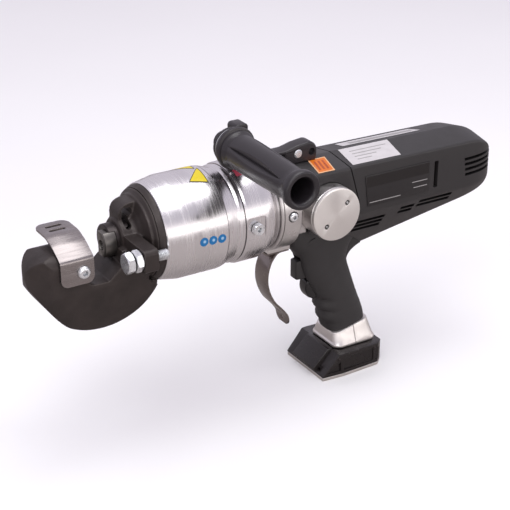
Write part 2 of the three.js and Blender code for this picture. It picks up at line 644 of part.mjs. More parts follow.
// Everything below the joint between the front cover and the grip.
const belowNeck = (lift) =>
  plateY(outline([[-20, -31 + lift], [14, -31 + lift], [40, -36 + lift], [74, -52 + lift], [96, -69 + lift],
    [160, -120 + lift], [-20, -120 + lift]]), -60, 60);

function frontCover() {
  const shell = cut(housingBody(0), housingBody(WALL));
  const pumpSide = box(-10, 15, -60, 60, -90, 21.7);
  const potHole = rod("y", CAP_R + GAP, -60, -10, [CAP_X, CAP_Z], ROUND);
  const screwHole = rod("z", 3, 20, 40, [16, 0]);
  const frontOpening = box(-10, FLANGE_REAR + 5, -28, 28, -60, 27);
  return cut(shell.intersect(aheadOfSeam(-GAP)), pumpSide, potHole, screwHole, frontOpening, belowNeck(0));
}

function vents() {
  const rearVents = [0, 1, 2, 3].map((i) => {
    const z = 10 - i * 5.6;
    return join(box(204 + i * 2.5, 232, -40, 40, z - 1.5, z + 1.5));
  });
  const windowSlot = box(165, 168, -40, 40, -12, 15);
  const triple = [0, 1, 2].map((i) => box(76 + i * 2, 106 + i, -40, 40, -34.6 - i * 4.4, -32.8 - i * 4.4));
  const pair = [0, 1].map((i) => box(126, 143, -40, 40, -28.6 - i * 4.2, -27 - i * 4.2));
  const longPair = [0, 1].map((i) => box(150, 188, -40, 40, -25.6 - i * 4.2, -24 - i * 4.2));
  return [...rearVents, windowSlot, ...triple, ...pair, ...longPair];
}

function motorShell(side) {
  const half = side < 0 ? box(0, 300, -60, -0.1, -90, 60) : box(0, 300, 0.1, 60, -90, 60);
  const shell = cut(housingBody(0), housingBody(WALL), aheadOfSeam(0), belowNeck(GAP), ...vents());
  return shell.intersect(half);
}

add("front_cover", BLACK_PLASTIC(), frontCover());
add("motor_shell_left", BLACK_PLASTIC(), motorShell(-1));
add("motor_shell_right", BLACK_PLASTIC(), motorShell(1));
add("nameplate", BLACK_PLASTIC(), plateY(
  outline([[76, 18], [156, 18], [156, -15], [80, -15]]), -HOUSING_HALF - 1.1, -HOUSING_HALF - GAP,
));

// ---- Motor ----
function armature() {
  const parts = [
    [4, 70, 214], [19.3, 98, 157], [9, 168, 182], [14, 92, 96],
  ].map(([radius, x0, x1]) => rod("x", radius, x0, x1, [0, MOTOR_Z], 12));
  const fan = [0, 1, 2, 3, 4, 5, 6].map((i) =>
    box(80, 92.5, -1, 1, 8, 22).rotate([(i * 360) / 7, 0, 0]).translate([0, 0, MOTOR_Z]));
  const fanPlate = rod("x", 22, 79, 81, [0, MOTOR_Z], 24);
  return join(...parts, gear(PINION_TEETH, 54, 70.1, MOTOR_Z), fanPlate, ...fan);
}

function bearingPlate() {
  const plate = plateX(roundedRectangle(-25, 25, -24, 24, 8), 68.5, 77.5);
  return cut(plate, rod("x", 11 + RUNNING, 70.5, 79, [0, MOTOR_Z], 24), rod("x", 5.5, 60, 79, [0,
    MOTOR_Z], 24));
}

function brushCarrier() {
  const cage = ring("x", 24.8, 22.5, 163, 214, [0, MOTOR_Z]);
  const endWall = ring("x", 23, 11 + RUNNING, 203, 213, [0, MOTOR_Z], 24);
  const holders = [-1, 1].map((side) => box(168, 182, side < 0 ? -23 : 9.4, side < 0 ? -9.4 : 23,
    MOTOR_Z - 4, MOTOR_Z + 4));
  return join(cage, endWall, ...holders);
}

const ballBearing = (x0, x1) => ring("x", 11, 4 + RUNNING, x0, x1, [0, MOTOR_Z], 24);

add("stator", COPPER_IRON(), ring("x", 25.5, 20, 95, 160, [0, MOTOR_Z], 28));
add("armature", COPPER_IRON(), armature());
add("front_bearing", TOOL_STEEL(), ballBearing(71, 77));
add("rear_bearing", TOOL_STEEL(), ballBearing(205, 211));
add("bearing_plate", CAST_ALUMINIUM(), bearingPlate());
add("brush_carrier", GLOSS_PLASTIC(), brushCarrier());

// ---- Pistol grip ----
function gripSolid() {
  const shape = new THREE.Shape();
  shape.moveTo(14, -31.3);
  shape.quadraticCurveTo(5, -38, 6, -48);
  shape.lineTo(14, -64);
  shape.lineTo(20, -92);
  shape.quadraticCurveTo(30, -110, 38, -122);
  shape.quadraticCurveTo(40, -128, 43, -131);
  shape.quadraticCurveTo(44, -137, 47, -141);
  shape.quadraticCurveTo(47, -147, 50, -153);
  shape.lineTo(57, -158);
  shape.lineTo(95, -149);
  shape.lineTo(88, -128);
  shape.lineTo(76, -95);
  shape.lineTo(69, -79);
  shape.quadraticCurveTo(66, -70, 74, -64);
  shape.quadraticCurveTo(80, -60, 90, -64.8);
  shape.lineTo(74, -52.3);
  shape.lineTo(40, -36.3);
  const sideView = plateY(shape, -GRIP_HALF, GRIP_HALF, 0, 5);
  const neck = plateZ(roundedRectangle(4, 140, -GRIP_HALF, GRIP_HALF, 9), GRIP_NECK - 0.1, -20);
  const handful = plateZ(roundedRectangle(27, 75, -GRIP_HALF, GRIP_HALF, 13), -170, GRIP_NECK);
  const raked = handful.transform([1, 0, 0, 0, 0, 1, 0, 0, -GRIP_RAKE, 0, 1, 0,
    GRIP_RAKE * GRIP_MIDDLE, 0, 0, 1]);
  return sideView.intersect(neck.add(raked));
}

function gripHalf(side) {
  const half = side < 0 ? box(-20, 140, -60, -0.1, -170, 0) : box(-20, 140, 0.1, 60, -170, 0);
  const switchRoom = box(24, 60, -11, 11, -98, -48);
  const triggerSlot = box(0, 30, -6.5, 6.5, -93.6, -64.6);
  const leverRoom = box(16, 44, -7.5, 7.5, -121, -93.2);
  const wireDuct = plateY(outline([[34, -90], [58, -90], [84, -165], [62, -165]]), -9, 9);
  return cut(gripSolid(), switchRoom, triggerSlot, leverRoom, wireDuct).intersect(half);
}

add("grip_left", BLACK_PLASTIC(), gripHalf(-1));
add("grip_right", BLACK_PLASTIC(), gripHalf(1));
add("switch_module", GLOSS_PLASTIC(), box(33, 58, -10.6, 10.6, -90, -50));
add("trigger", BLACK_PLASTIC(), join(
  plateY(roundedRectangle(14.5, 27, -90, -67, 1.5), -6, 6),
  box(26, 27.4, -6, 6, -88, -69),
));

function reverseLever() {
  const shape = new THREE.Shape();
  shape.moveTo(27, -94.5);
  shape.quadraticCurveTo(24, -106, 30, -114);
  shape.lineTo(38, -119);
  shape.lineTo(41, -116);
  shape.lineTo(38, -98);
  shape.lineTo(35, -94);
  return plateY(shape, -7, 7);
}

add("lower_trigger", GLOSS_PLASTIC(), cut(reverseLever(), rod("y", 1.5 + RUNNING, -9, 9, [35, -98], 16)));
add("lower_trigger_pin", TOOL_STEEL(), rod("y", 1.5, -7.4, 7.4, [35, -98], 16));

// ---- Collar that clamps the grip to the battery foot ----
function collarSolid() {
  const section = (x0, x1, half, z, round) => {
    const points = roundedRectangle(x0, x1, -half, half, round).getPoints(3);
    points.pop();
    return points.map((p) => [p.x, p.y, z(p.x)]);
  };
  const top = section(55, 97, 18.5, (x) => -158.5 + (x - 55) * 0.22, 7);
  const bottom = section(54, 104, 24, () => COLLAR_BOTTOM, 9);
  const count = top.length;
  const vertices = [...top, ...bottom].flat();
  const centre = (points) => [0, 1, 2].map((k) => points.reduce((sum, p) => sum + p[k], 0) / points.length);
  vertices.push(...centre(top), ...centre(bottom));
  const faces = [];
  for (let i = 0; i < count; i++) {
    const next = (i + 1) % count;
    faces.push(i, count + i, next, next, count + i, count + next);
    faces.push(2 * count, i, next, 2 * count + 1, count + next, count + i);
  }
  const geometry = new THREE.BufferGeometry();
  geometry.setAttribute("position", new THREE.Float32BufferAttribute(vertices, 3));
  geometry.setIndex(faces);
  return solid(geometry);
}

function collarHalf(front) {
  const split = 78;
  const half = front ? box(0, split - 0.1, -60, 60, -190, -130) : box(split + 0.1, 140, -60, 60, -190, -130);
  const duct = box(66, 90, -12, 12, -190, -130);
  return cut(collarSolid().intersect(half), duct);
}

add("collar_front", SATIN_ALUMINIUM(), collarHalf(true));
add("collar_rear", SATIN_ALUMINIUM(), collarHalf(false));

// ---- Battery foot ----
function footOutline(inset) {
  return outline([
    [31 + inset, inset - 34], [56, inset - 36], [100, inset - 34], [107 - inset, inset - 28],
    [107 - inset, 28 - inset], [100, 34 - inset], [56, 36 - inset], [31 + inset, 34 - inset],
  ]);
}

function footShell() {
  const block = plateZ(footOutline(0), FOOT_PLATE + GAP, -163);
  const sideView = plateY(outline([
    [31, FOOT_PLATE], [31, -195], [50, FOOT_TOP], [107, FOOT_TOP], [107, FOOT_PLATE],
  ]), -60, 60);
  const platform = plateY(outline([[31, -195], [28, -190], [46, FOOT_TOP], [52, FOOT_TOP], [52,
    -195]]), -20, 20);
  const room = box(60, 96, -17, 17, -192, -160);
  const sidePanels = [-1, 1].map((side) =>
    box(54, 88, side < 0 ? -40 : 34, side < 0 ? -34 : 40, -193, -177));
  const screwHoles = [[46, 25], [46, -25], [96, 20], [96, -20]].map(([x, y]) => rod("z", 1.7, -197,
    -186, [x, y], 12));
  return cut(join(block.intersect(sideView), platform), room, ...sidePanels, ...screwHoles);
}

function footPlate() {
  const screwHoles = [[46, 25], [46, -25], [96, 20], [96, -20]].map(([x, y]) => rod("z", 2, -201, -196,
    [x, y], 12));
  const contacts = [-1, 1].map((side) => box(76, 92, side * 12 - 2, side * 12 + 2, -201, -196));
  return cut(plateZ(footOutline(0.6), FOOT_BOTTOM, FOOT_PLATE), ...screwHoles, ...contacts);
}

add("foot_shell", BLACK_PLASTIC(), footShell());
add("foot_plate", SATIN_ALUMINIUM(), footPlate());
add("control_board", BOARD_GREEN(), box(66, 90, -11, 11, -189, -187));
[[46, 25], [46, -25], [96, 20], [96, -20]].forEach(([x, y], i) => {
  add(`foot_screw_${i + 1}`, ZINC(), rod("z", 1.6, -199.4, -188, [x, y], 12));
});

// ---- Strap that guards the trigger ----
function triggerGuard() {
  const bend = new THREE.CatmullRomCurve3([
    [-12, -53], [-18, -60], [-22, -71], [-22.8, -83], [-20, -95], [-14, -107], [-6, -117], [1.5, -125],
      [7, -133], [14, -141],
  ].map(([x, z]) => new THREE.Vector3(x, z, 0)));
  const path = [[1, -51.4], [-8, -51.4], ...bend.getPoints(14).slice(1).map((p) => [p.x, p.y])];
  const ribbon = plateY(strip(path, 2.2), -11, 11);
  const plate = box(-24, 2, -11, 11, -52.5, -50.3);
  const frontView = plateX(roundedRectangle(-11, 11, -142.5, -40, 8), -60, 60);
  const screwHole = rod("z", 2.8, -54, -49, [-3, 0]);
  const tipHole = rod("x", 1.8, 2, 20, [0, -134], 12);
  return cut(join(ribbon.intersect(frontView), plate), screwHole, tipHole);
}

add("trigger_guard", STAINLESS(), triggerGuard());
add("trigger_guard_screw", ZINC(), turned("z", [
  [-55.6, 0], [-55.6, 3], [-55, 4.4], [-52.8, 4.6], [-52.8, 2.5], [-42.6, 2.5], [-42.6, 0],
], [-3, 0], 12));

tool.position.set(-FOOT_X, 0, -FOOT_BOTTOM);

export default tool;
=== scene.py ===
"""Looks for the cordless hydraulic bar cutter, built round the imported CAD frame.

Places are written in the tool's own millimetres: the ram axis is y = 0, z = 0, the cutting head
points towards -X and the operator's left is -Y. place() turns them into the frame's metres.
"""

import json
import math

import bmesh
import bpy
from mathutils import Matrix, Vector


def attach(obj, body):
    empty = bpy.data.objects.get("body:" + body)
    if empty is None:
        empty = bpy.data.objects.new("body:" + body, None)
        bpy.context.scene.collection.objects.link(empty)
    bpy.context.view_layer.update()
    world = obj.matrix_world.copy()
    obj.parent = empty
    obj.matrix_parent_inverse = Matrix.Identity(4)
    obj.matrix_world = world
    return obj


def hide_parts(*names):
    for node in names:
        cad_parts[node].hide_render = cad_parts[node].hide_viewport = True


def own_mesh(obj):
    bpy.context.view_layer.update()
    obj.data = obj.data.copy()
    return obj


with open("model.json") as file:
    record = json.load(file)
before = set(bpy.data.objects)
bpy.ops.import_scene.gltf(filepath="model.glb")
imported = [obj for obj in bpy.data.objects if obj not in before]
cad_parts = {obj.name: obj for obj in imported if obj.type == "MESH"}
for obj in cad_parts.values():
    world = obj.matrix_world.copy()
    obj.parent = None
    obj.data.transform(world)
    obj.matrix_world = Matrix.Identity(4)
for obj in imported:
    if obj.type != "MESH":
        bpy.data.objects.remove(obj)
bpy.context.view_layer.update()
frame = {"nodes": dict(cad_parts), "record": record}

# ---- Driving dimensions, millimetres ----
ORIGIN = Vector((66, 0, -200))  # the frame's origin, under the battery foot
MM = 0.001
FINE = 144  # steps round a large turned piece

HEAD_X, HEAD_Z, HEAD_R = -204, -10.5, 69.5  # round belly of the cutting head
HEAD_NEAR, HEAD_FAR, HEAD_TOP = -26, 20, 6
HOOK_FACE, HUB_FACE, THROAT_FLOOR = -222, -186, -28
CYLINDER_FRONT, CYLINDER_R = -158, 50
BAND_R = 49.5  # the rear band of the cylinder
NEAR_CREASE = -33  # below this height the head's flat sides slope in
COLLAR_REAR = -150.6  # where the dark collar of the head meets the bright cylinder
LUG_FRONT, LUG_REAR = -181, -167
RAM_R, RAM_NOSE, CUTTER_FACE = 16, -192, -198
STOP_Y, STOP_Z = -51, -1.5
CAP_X, CAP_Z, CAP_R, CAP_FACE = 32, -6.5, 27, -50
HOUSING_HALF, HOUSING_FRONT, HOUSING_REAR = 33, -3.5, 252
CREASE_TOP, CREASE_LOW, RIDGE, CROWN_FALL = 31, -20.5, 37.5, 0.014
DOME_START, DOME_MIDDLE = 202, -14  # where the rear dome begins, and the height it closes on
BELLY_FRONT, BELLY_REAR = (70, -72.5), (229, -31.5)
DOME_FULLNESS, DOME_LOW_FULLNESS = 2.3, 4  # 2 would be a round dome, and more is fuller
SEAM_TOP = 59
HANDLE_X, HANDLE_Z, HANDLE_ROOT, HANDLE_END = -64, 71.5, -18, -135
HANDLE_SAG = 2.2  # how much lower the free end sits
FLUTE_TURN = 105  # where round the handle the first flute lies, degrees
SPRING_SEAT, SPRING_FRONT, SPRING_REAR = -120.7, -119.1, -83.9
FOOT_TOP, FOOT_PLATE, FOOT_BOTTOM = -174, -196.5, -200
COLLAR_SPLIT = 78  # where the two halves of the collar meet
GUARD_SCREW = (-226, -11)  # x and z
VALVE = (-58, 0)  # x and z
SIDE_SCREW = (-16, 1)  # x and z
STRAP_SCREW = (-3, 0)  # x and y


def place(x, y, z):
    return (Vector((x, y, z)) - ORIGIN) * MM


def add_object(name, data):
    obj = bpy.data.objects.new(name, data)
    bpy.context.scene.collection.objects.link(obj)
    return obj


# ---- Mesh building ----
def new_object(name, vertices, faces):
    mesh = bpy.data.meshes.new(name)
    mesh.from_pydata([place(*v) for v in vertices], [], faces)
    bm = bmesh.new()
    bm.from_mesh(mesh)
    bmesh.ops.remove_doubles(bm, verts=bm.verts, dist=1e-6)
    bmesh.ops.recalc_face_normals(bm, faces=bm.faces)
    bm.to_mesh(mesh)
    bm.free()
    return add_object(name, mesh)


def along(axis, a, p, q):
    """A point at a along the axis, with p and q on the other two axes in x, y, z order."""
    return {"x": (a, p, q), "y": (p, a, q), "z": (p, q, a)}[axis]


def turned(name, axis, profile, centre=(0, 0), steps=FINE):
    """A closed turned piece from [along the axis, radius] points."""
    vertices, faces = [], []
    count = len(profile)
    for i in range(steps):
        angle = 2 * math.pi * i / steps
        for a, r in profile:
            p, q = centre[0] + r * math.cos(angle), centre[1] + r * math.sin(angle)
            vertices.append(along(axis, a, p, q))
    on_axis = profile[0][1] == 0 and profile[-1][1] == 0
    for i in range(steps):
        here, there = i * count, ((i + 1) % steps) * count
        for k in range(count if not on_axis else count - 1):
            n = (k + 1) % count
            faces.append((here + k, here + n, there + n, there + k))
    return new_object(name, vertices, faces)


def rod(name, axis, radius, a0, a1, centre, steps=48):
    return turned(name, axis, [(a0, 0), (a0, radius), (a1, radius), (a1, 0)], centre, steps)


def prism(name, axis, outline, a0, a1):
    """A straight piece with the outline at both ends."""
    count = len(outline)
    vertices = [along(axis, a, p, q) for a in (a0, a1) for p, q in outline]
    faces = [tuple(range(count)), tuple(range(2 * count - 1, count - 1, -1))]
    faces += [(i, (i + 1) % count, count + (i + 1) % count, count + i) for i in range(count)]
    return new_object(name, vertices, faces)


def block(name, x0, x1, y0, y1, z0, z1):
    return prism(name, "z", [(x0, y0), (x1, y0), (x1, y1), (x0, y1)], z0, z1)


def hexagon(name, axis, flats, a0, a1, centre, turn=0.0):
    radius = flats / math.sqrt(3)
    corners = [turn + math.pi * i / 3 for i in range(6)]
    outline = [(centre[0] + radius * math.cos(t), centre[1] + radius * math.sin(t)) for t in corners]
    return prism(name, axis, outline, a0, a1)


def loft(name, rings):
    """A closed piece through rings of equally many points."""
    count = len(rings[0])
    vertices = [p for ring in rings for p in ring]
    faces = [tuple(range(count)), tuple(range(len(vertices) - 1, len(vertices) - count - 1, -1))]
    for k in range(len(rings) - 1):
        for i in range(count):
            n = (i + 1) % count
            faces.append((k * count + i, k * count + n, (k + 1) * count + n, (k + 1) * count + i))
    return new_object(name, vertices, faces)


def on_side(side, a, b):
    """Two distances from the middle, put on the near side (-1) or the far one (1), lowest first."""
    return sorted((side * a, side * b))


def arc(cx, cy, r, start, end, steps=12):
    """Points on a circle between two angles in degrees."""
    turns = [math.radians(start + (end - start) * i / steps) for i in range(steps + 1)]
    return [(cx + r * math.cos(t), cy + r * math.sin(t)) for t in turns]


def curve3(p, q, r, steps=8):
    """Points on a quadratic curve from p to r that leans towards q."""
    points = []
    for i in range(steps + 1):
        t = i / steps
        first, second, third = (1 - t) ** 2, 2 * t * (1 - t), t * t
        points.append(tuple(first * a + second * b + third * c for a, b, c in zip(p, q, r)))
    return points


def rounded(a0, a1, b0, b1, r, steps=8):
    """A rectangle with rounded corners."""
    return (arc(a1 - r, b0 + r, r, -90, 0, steps) + arc(a1 - r, b1 - r, r, 0, 90, steps)
            + arc(a0 + r, b1 - r, r, 90, 180, steps) + arc(a0 + r, b0 + r, r, 180, 270, steps))


def apply_modifiers(obj):
    graph = bpy.context.evaluated_depsgraph_get()
    obj.data = bpy.data.meshes.new_from_object(obj.evaluated_get(graph))
    obj.modifiers.clear()
    return obj


def boolean(obj, operation, others):
    for other in others:
        step = obj.modifiers.new("shape", "BOOLEAN")
        step.operation = operation
        step.solver = "EXACT"
        step.object = other
        apply_modifiers(obj)
        bpy.data.objects.remove(other)
    return obj


def cut(obj, *others):
    return boolean(obj, "DIFFERENCE", others)


def join(obj, *others):
    return boolean(obj, "UNION", others)


def meet(obj, *others):
    return boolean(obj, "INTERSECT", others)


def bevel(obj, width, segments=3, angle=30):
    """Rounded edges, where faces meet at more than the angle."""
    step = obj.modifiers.new("edges", "BEVEL")
    step.width = width * MM
    step.segments = segments
    step.limit_method = "ANGLE"
    step.angle_limit = math.radians(angle)
    return apply_modifiers(obj)


def melt(obj, voxel, passes):
    """Blends all joints and edges softly, as on a forging."""
    step = obj.modifiers.new("melt", "REMESH")
    step.mode = "VOXEL"
    step.voxel_size = voxel * MM
    smooth = obj.modifiers.new("soften", "SMOOTH")
    smooth.factor = 0.5
    smooth.iterations = passes
    return apply_modifiers(obj)


def soften(obj, angle=32):
    """Smooth shading that keeps edges sharper than the angle."""
    bm = bmesh.new()
    bm.from_mesh(obj.data)
    for face in bm.faces:
        face.smooth = True
    for edge in bm.edges:
        if len(edge.link_faces) == 2:
            edge.smooth = edge.calc_face_angle(0) < math.radians(angle)
    bm.to_mesh(obj.data)
    bm.free()
    return obj


def finish_piece(obj, surface, body="tool", nodes=(), angle=32):
    """Gives a piece its surface and body, and hides the CAD nodes it stands for."""
    soften(obj, angle)
    obj.data.materials.clear()
    obj.data.materials.append(surface)
    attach(obj, body)
    if nodes:
        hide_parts(*nodes)
    return obj


# ---- Surfaces ----
class Surface:
    """A node material under construction: one principled shader fed by small texture chains."""

    def __init__(self, name, colour, roughness, metallic):
        self.material = bpy.data.materials.new(name)
        self.material.use_nodes = True
        self.tree = self.material.node_tree
        self.shader = self.tree.nodes["Principled BSDF"]
        self.shader.inputs["Base Color"].default_value = (*colour, 1)
        self.shader.inputs["Roughness"].default_value = roughness
        self.shader.inputs["Metallic"].default_value = metallic
        self.where = self.node("ShaderNodeTexCoord").outputs["Object"]
        self.colour = colour
        self.roughness = roughness
        self.height = None

    def node(self, kind, **settings):
        node = self.tree.nodes.new(kind)
        for key, value in settings.items():
            setattr(node, key, value)
        return node

    def link(self, a, b):
        self.tree.links.new(a, b)

    def noise(self, scale, stretch=(1, 1, 1), detail=3.0):
        mapping = self.node("ShaderNodeMapping")
        mapping.inputs["Scale"].default_value = stretch
        self.link(self.where, mapping.inputs["Vector"])
        noise = self.node("ShaderNodeTexNoise")
        noise.inputs["Scale"].default_value = scale
        noise.inputs["Detail"].default_value = detail
        self.link(mapping.outputs["Vector"], noise.inputs["Vector"])
        return noise.outputs["Fac"]

    def mottle(self, scale, amount, stretch=(1, 1, 1)):
        """Slow changes of colour over the surface."""
        low = tuple(level * (1 - amount) for level in self.colour)
        high = tuple(min(1, level * (1 + amount)) for level in self.colour)
        ramp = self.node("ShaderNodeValToRGB")
        for element, spot, colour in zip(ramp.color_ramp.elements, (0.3, 0.7), (low, high)):
            element.position = spot
            element.color = (*colour, 1)
        self.link(self.noise(scale, stretch), ramp.inputs["Fac"])
        self.colour_out = ramp.outputs["Color"]
        self.link(self.colour_out, self.shader.inputs["Base Color"])
        return self

    def spread(self, value, start, end):
        """The value carried over from one range of numbers to another."""
        spread = self.node("ShaderNodeMapRange")
        for key, level in zip(("From Min", "From Max", "To Min", "To Max"), (*start, *end)):
            spread.inputs[key].default_value = level
        self.link(value, spread.inputs["Value"])
        return spread.outputs["Result"]

    def overlay(self, share, colour):
        """Covers the colour so far with another one, as far as the share says."""
        mix = self.node("ShaderNodeMix", data_type="RGBA")
        self.link(share, mix.inputs["Factor"])
        self.link(self.colour_out, mix.inputs["A"])
        mix.inputs["B"].default_value = (*colour, 1)
        self.colour_out = mix.outputs["Result"]
        self.link(self.colour_out, self.shader.inputs["Base Color"])
        return self

    def patchy(self, scale, amount, stretch=(1, 1, 1)):
        """Changes of roughness over the surface."""
        levels = (max(0.03, self.roughness - amount), min(1, self.roughness + amount))
        patches = self.spread(self.noise(scale, stretch, 4), (0.3, 0.7), levels)
        self.link(patches, self.shader.inputs["Roughness"])
        return self

    def grain(self, scale, depth, stretch=(1, 1, 1), detail=2.0):
        """Fine relief, depth in millimetres."""
        bump = self.node("ShaderNodeBump")
        bump.inputs["Distance"].default_value = depth * MM
        self.link(self.noise(scale, stretch, detail), bump.inputs["Height"])
        if self.height:
            self.link(self.height, bump.inputs["Normal"])
        self.height = bump.outputs["Normal"]
        self.link(self.height, self.shader.inputs["Normal"])
        return self

    def brushed(self, axis, amount):
        """Highlights drawn out round the axis, as a lathe tool leaves them."""
        tangent = self.node("ShaderNodeTangent", direction_type="RADIAL", axis=axis)
        self.link(tangent.outputs["Tangent"], self.shader.inputs["Tangent"])
        self.shader.inputs["Anisotropic"].default_value = amount
        return self

    def painted_gap_shade(self, distance, depth=0.85):
        """Painted shade: the colour darkens where the surface lies deep in a gap or a hole."""
        open_sky = self.node("ShaderNodeAmbientOcclusion", samples=8)
        open_sky.inputs["Distance"].default_value = distance * MM
        return self.overlay(self.spread(open_sky.outputs["AO"], (0.15, 0.75), (depth, 0)), GAP_SHADE_COLOUR)

    def rubbed_and_highlit_edges(self, colour, radius, strength=0.6):
        """Lighter edges: partly where the finish has rubbed, partly a painted highlight along them."""
        soft = self.node("ShaderNodeBevel", samples=6)
        soft.inputs["Radius"].default_value = radius * MM
        shape = self.node("ShaderNodeNewGeometry")
        dot = self.node("ShaderNodeVectorMath", operation="DOT_PRODUCT")
        self.link(soft.outputs["Normal"], dot.inputs[0])
        self.link(shape.outputs["Normal"], dot.inputs[1])
        speckle = self.node("ShaderNodeMath", operation="MULTIPLY")
        self.link(self.spread(dot.outputs["Value"], (0.995, 0.9), (0, strength)), speckle.inputs[0])
        self.link(self.noise(180, detail=5), speckle.inputs[1])
        return self.overlay(speckle.outputs["Value"], colour)


GAP_SHADE_COLOUR = (0.004, 0.004, 0.004)  # colour of the painted shade in the deepest gaps
ROUND_X = (1, 0.02, 0.02)  # texture drawn out round the X axis
LONG_X = (0.05, 1, 1)  # texture drawn out along the X axis


def plastic_surface(name, colour, roughness, texture):
    # The lighter edge colour is partly rubbed wear and partly a painted edge highlight.
    edge = tuple(level * 1.8 for level in colour)
    s = Surface(name, colour, roughness, 0.0).mottle(25, 0.06).patchy(60, 0.05)
    s.shader.inputs["Specular IOR Level"].default_value = 0.5
    s.grain(2200, texture, detail=1.0).grain(300, texture * 0.8)
    # The darkening in gaps and holes is painted shade.
    return s.rubbed_and_highlit_edges(edge, 0.7, 0.4).painted_gap_shade(5).material


def print_surface(name, colour, roughness=0.35):
    return Surface(name, colour, roughness, 0.0).mottle(120, 0.05).patchy(200, 0.08).material


# The forged steel's lighter edges are partly rubbed wear and partly a painted highlight.
# Where these surfaces darken in gaps and holes, that darkening is painted shade.
FORGED = (Surface("forged_steel", (0.036, 0.028, 0.026), 0.46, 0.35)
          .mottle(45, 0.22).patchy(70, 0.12).grain(900, 0.12).grain(160, 0.16)
          .rubbed_and_highlit_edges((0.14, 0.12, 0.11), 1.2).painted_gap_shade(5, 0.7).material)
TURNED = (Surface("turned_aluminium", (0.8, 0.78, 0.79), 0.25, 1.0)
          .mottle(30, 0.05, ROUND_X).patchy(420, 0.07, ROUND_X).grain(1400, 0.012, ROUND_X)
          .brushed("X", 0.45).painted_gap_shade(4).material)
CAST = (Surface("cast_aluminium", (0.68, 0.66, 0.65), 0.33, 1.0)
        .mottle(60, 0.08).patchy(90, 0.08).grain(1500, 0.04).painted_gap_shade(6).material)
SATIN = (Surface("satin_aluminium", (0.72, 0.69, 0.67), 0.36, 0.9)
         .mottle(50, 0.05).patchy(200, 0.06).grain(2500, 0.015).material)
DISC = (Surface("disc_aluminium", (0.8, 0.77, 0.74), 0.36, 0.8)
        .mottle(50, 0.03).patchy(300, 0.05).grain(2500, 0.01).brushed("Y", 0.75).material)
STAINLESS = (Surface("stainless", (0.33, 0.3, 0.295), 0.3, 1.0)
             .mottle(60, 0.1, LONG_X).patchy(900, 0.1, LONG_X).grain(2600, 0.02, LONG_X).material)
STRAP = (Surface("strap_steel", (0.24, 0.21, 0.2), 0.22, 1.0)
         .mottle(35, 0.14).patchy(120, 0.12).grain(1500, 0.03, (1, 0.1, 1)).material)
ZINC = (Surface("zinc_plate", (0.82, 0.84, 0.86), 0.3, 0.85)
        .mottle(150, 0.12).patchy(220, 0.1).grain(900, 0.012).painted_gap_shade(3).material)
# The tool steel's pale edges are partly rubbed wear and partly a painted highlight.
TOOL_STEEL = (Surface("tool_steel", (0.16, 0.15, 0.14), 0.38, 0.9)
              .mottle(80, 0.15).patchy(120, 0.1).grain(1500, 0.03, ROUND_X)
              .rubbed_and_highlit_edges((0.6, 0.58, 0.55), 0.8).material)
BLACKED = (Surface("blacked_steel", (0.035, 0.028, 0.028), 0.36, 0.6)
           .mottle(60, 0.2).patchy(90, 0.1).material)
RUBBER = Surface("seal_rubber", (0.02, 0.02, 0.02), 0.7, 0.0).mottle(80, 0.2).grain(900, 0.05).material
PLASTIC = plastic_surface("black_plastic", (0.024, 0.022, 0.023), 0.44, 0.03)
GRIP_PLASTIC = plastic_surface("grip_plastic", (0.026, 0.024, 0.025), 0.55, 0.06)
HANDLE_PLASTIC = plastic_surface("handle_plastic", (0.02, 0.017, 0.02), 0.34, 0.02)
FOOT_PLASTIC = plastic_surface("foot_plastic", (0.012, 0.009, 0.009), 0.26, 0.03)
GLOSS = plastic_surface("gloss_plastic", (0.012, 0.011, 0.012), 0.2, 0.01)
# Near black: the circuit board's own colour, and painted shade on the discs at the bottoms of the cap's pin
# holes.
DARK = print_surface("dark_inside", (0.008, 0.008, 0.008), 0.8)
PLATE = print_surface("plate_print", (0.014, 0.012, 0.013), 0.42)
BAND = print_surface("band_print", (0.005, 0.003, 0.003), 0.4)
BLACK_PRINT = print_surface("black_print", (0.02, 0.02, 0.02))
GREY_PRINT = print_surface("grey_print", (0.32, 0.31, 0.31), 0.5)
SILVER_PRINT = print_surface("silver_print", (0.55, 0.53, 0.54), 0.4)
YELLOW = print_surface("yellow_print", (0.7, 0.56, 0.01))
RED = print_surface("red_print", (0.72, 0.1, 0.16))
BLUE = print_surface("blue_print", (0.005, 0.16, 0.42))
PALE_BLUE = print_surface("pale_blue_print", (0.35, 0.55, 0.75))
ORANGE = print_surface("orange_print", (0.62, 0.15, 0.01))
PALE_ORANGE = print_surface("pale_orange_print", (0.75, 0.42, 0.22))
DARK_ORANGE = print_surface("dark_orange_print", (0.36, 0.06, 0.01))


# ---- Cutting head ----
def disc_with_soft_rim(radius, y0, y1, centre):
    """The belly's outside: both faces turn over into the rim with a slight crease."""
    near = curve3((y0, radius - 15), (y0 + 3, radius - 1), (y0 + 14, radius), 10)
    far = curve3((y1 - 16, radius), (y1 - 1, radius - 1), (y1, radius - 16), 10)
    return turned("soft_disc", "y", [(y0, 0), *near, *far, (y1, 0)], centre)


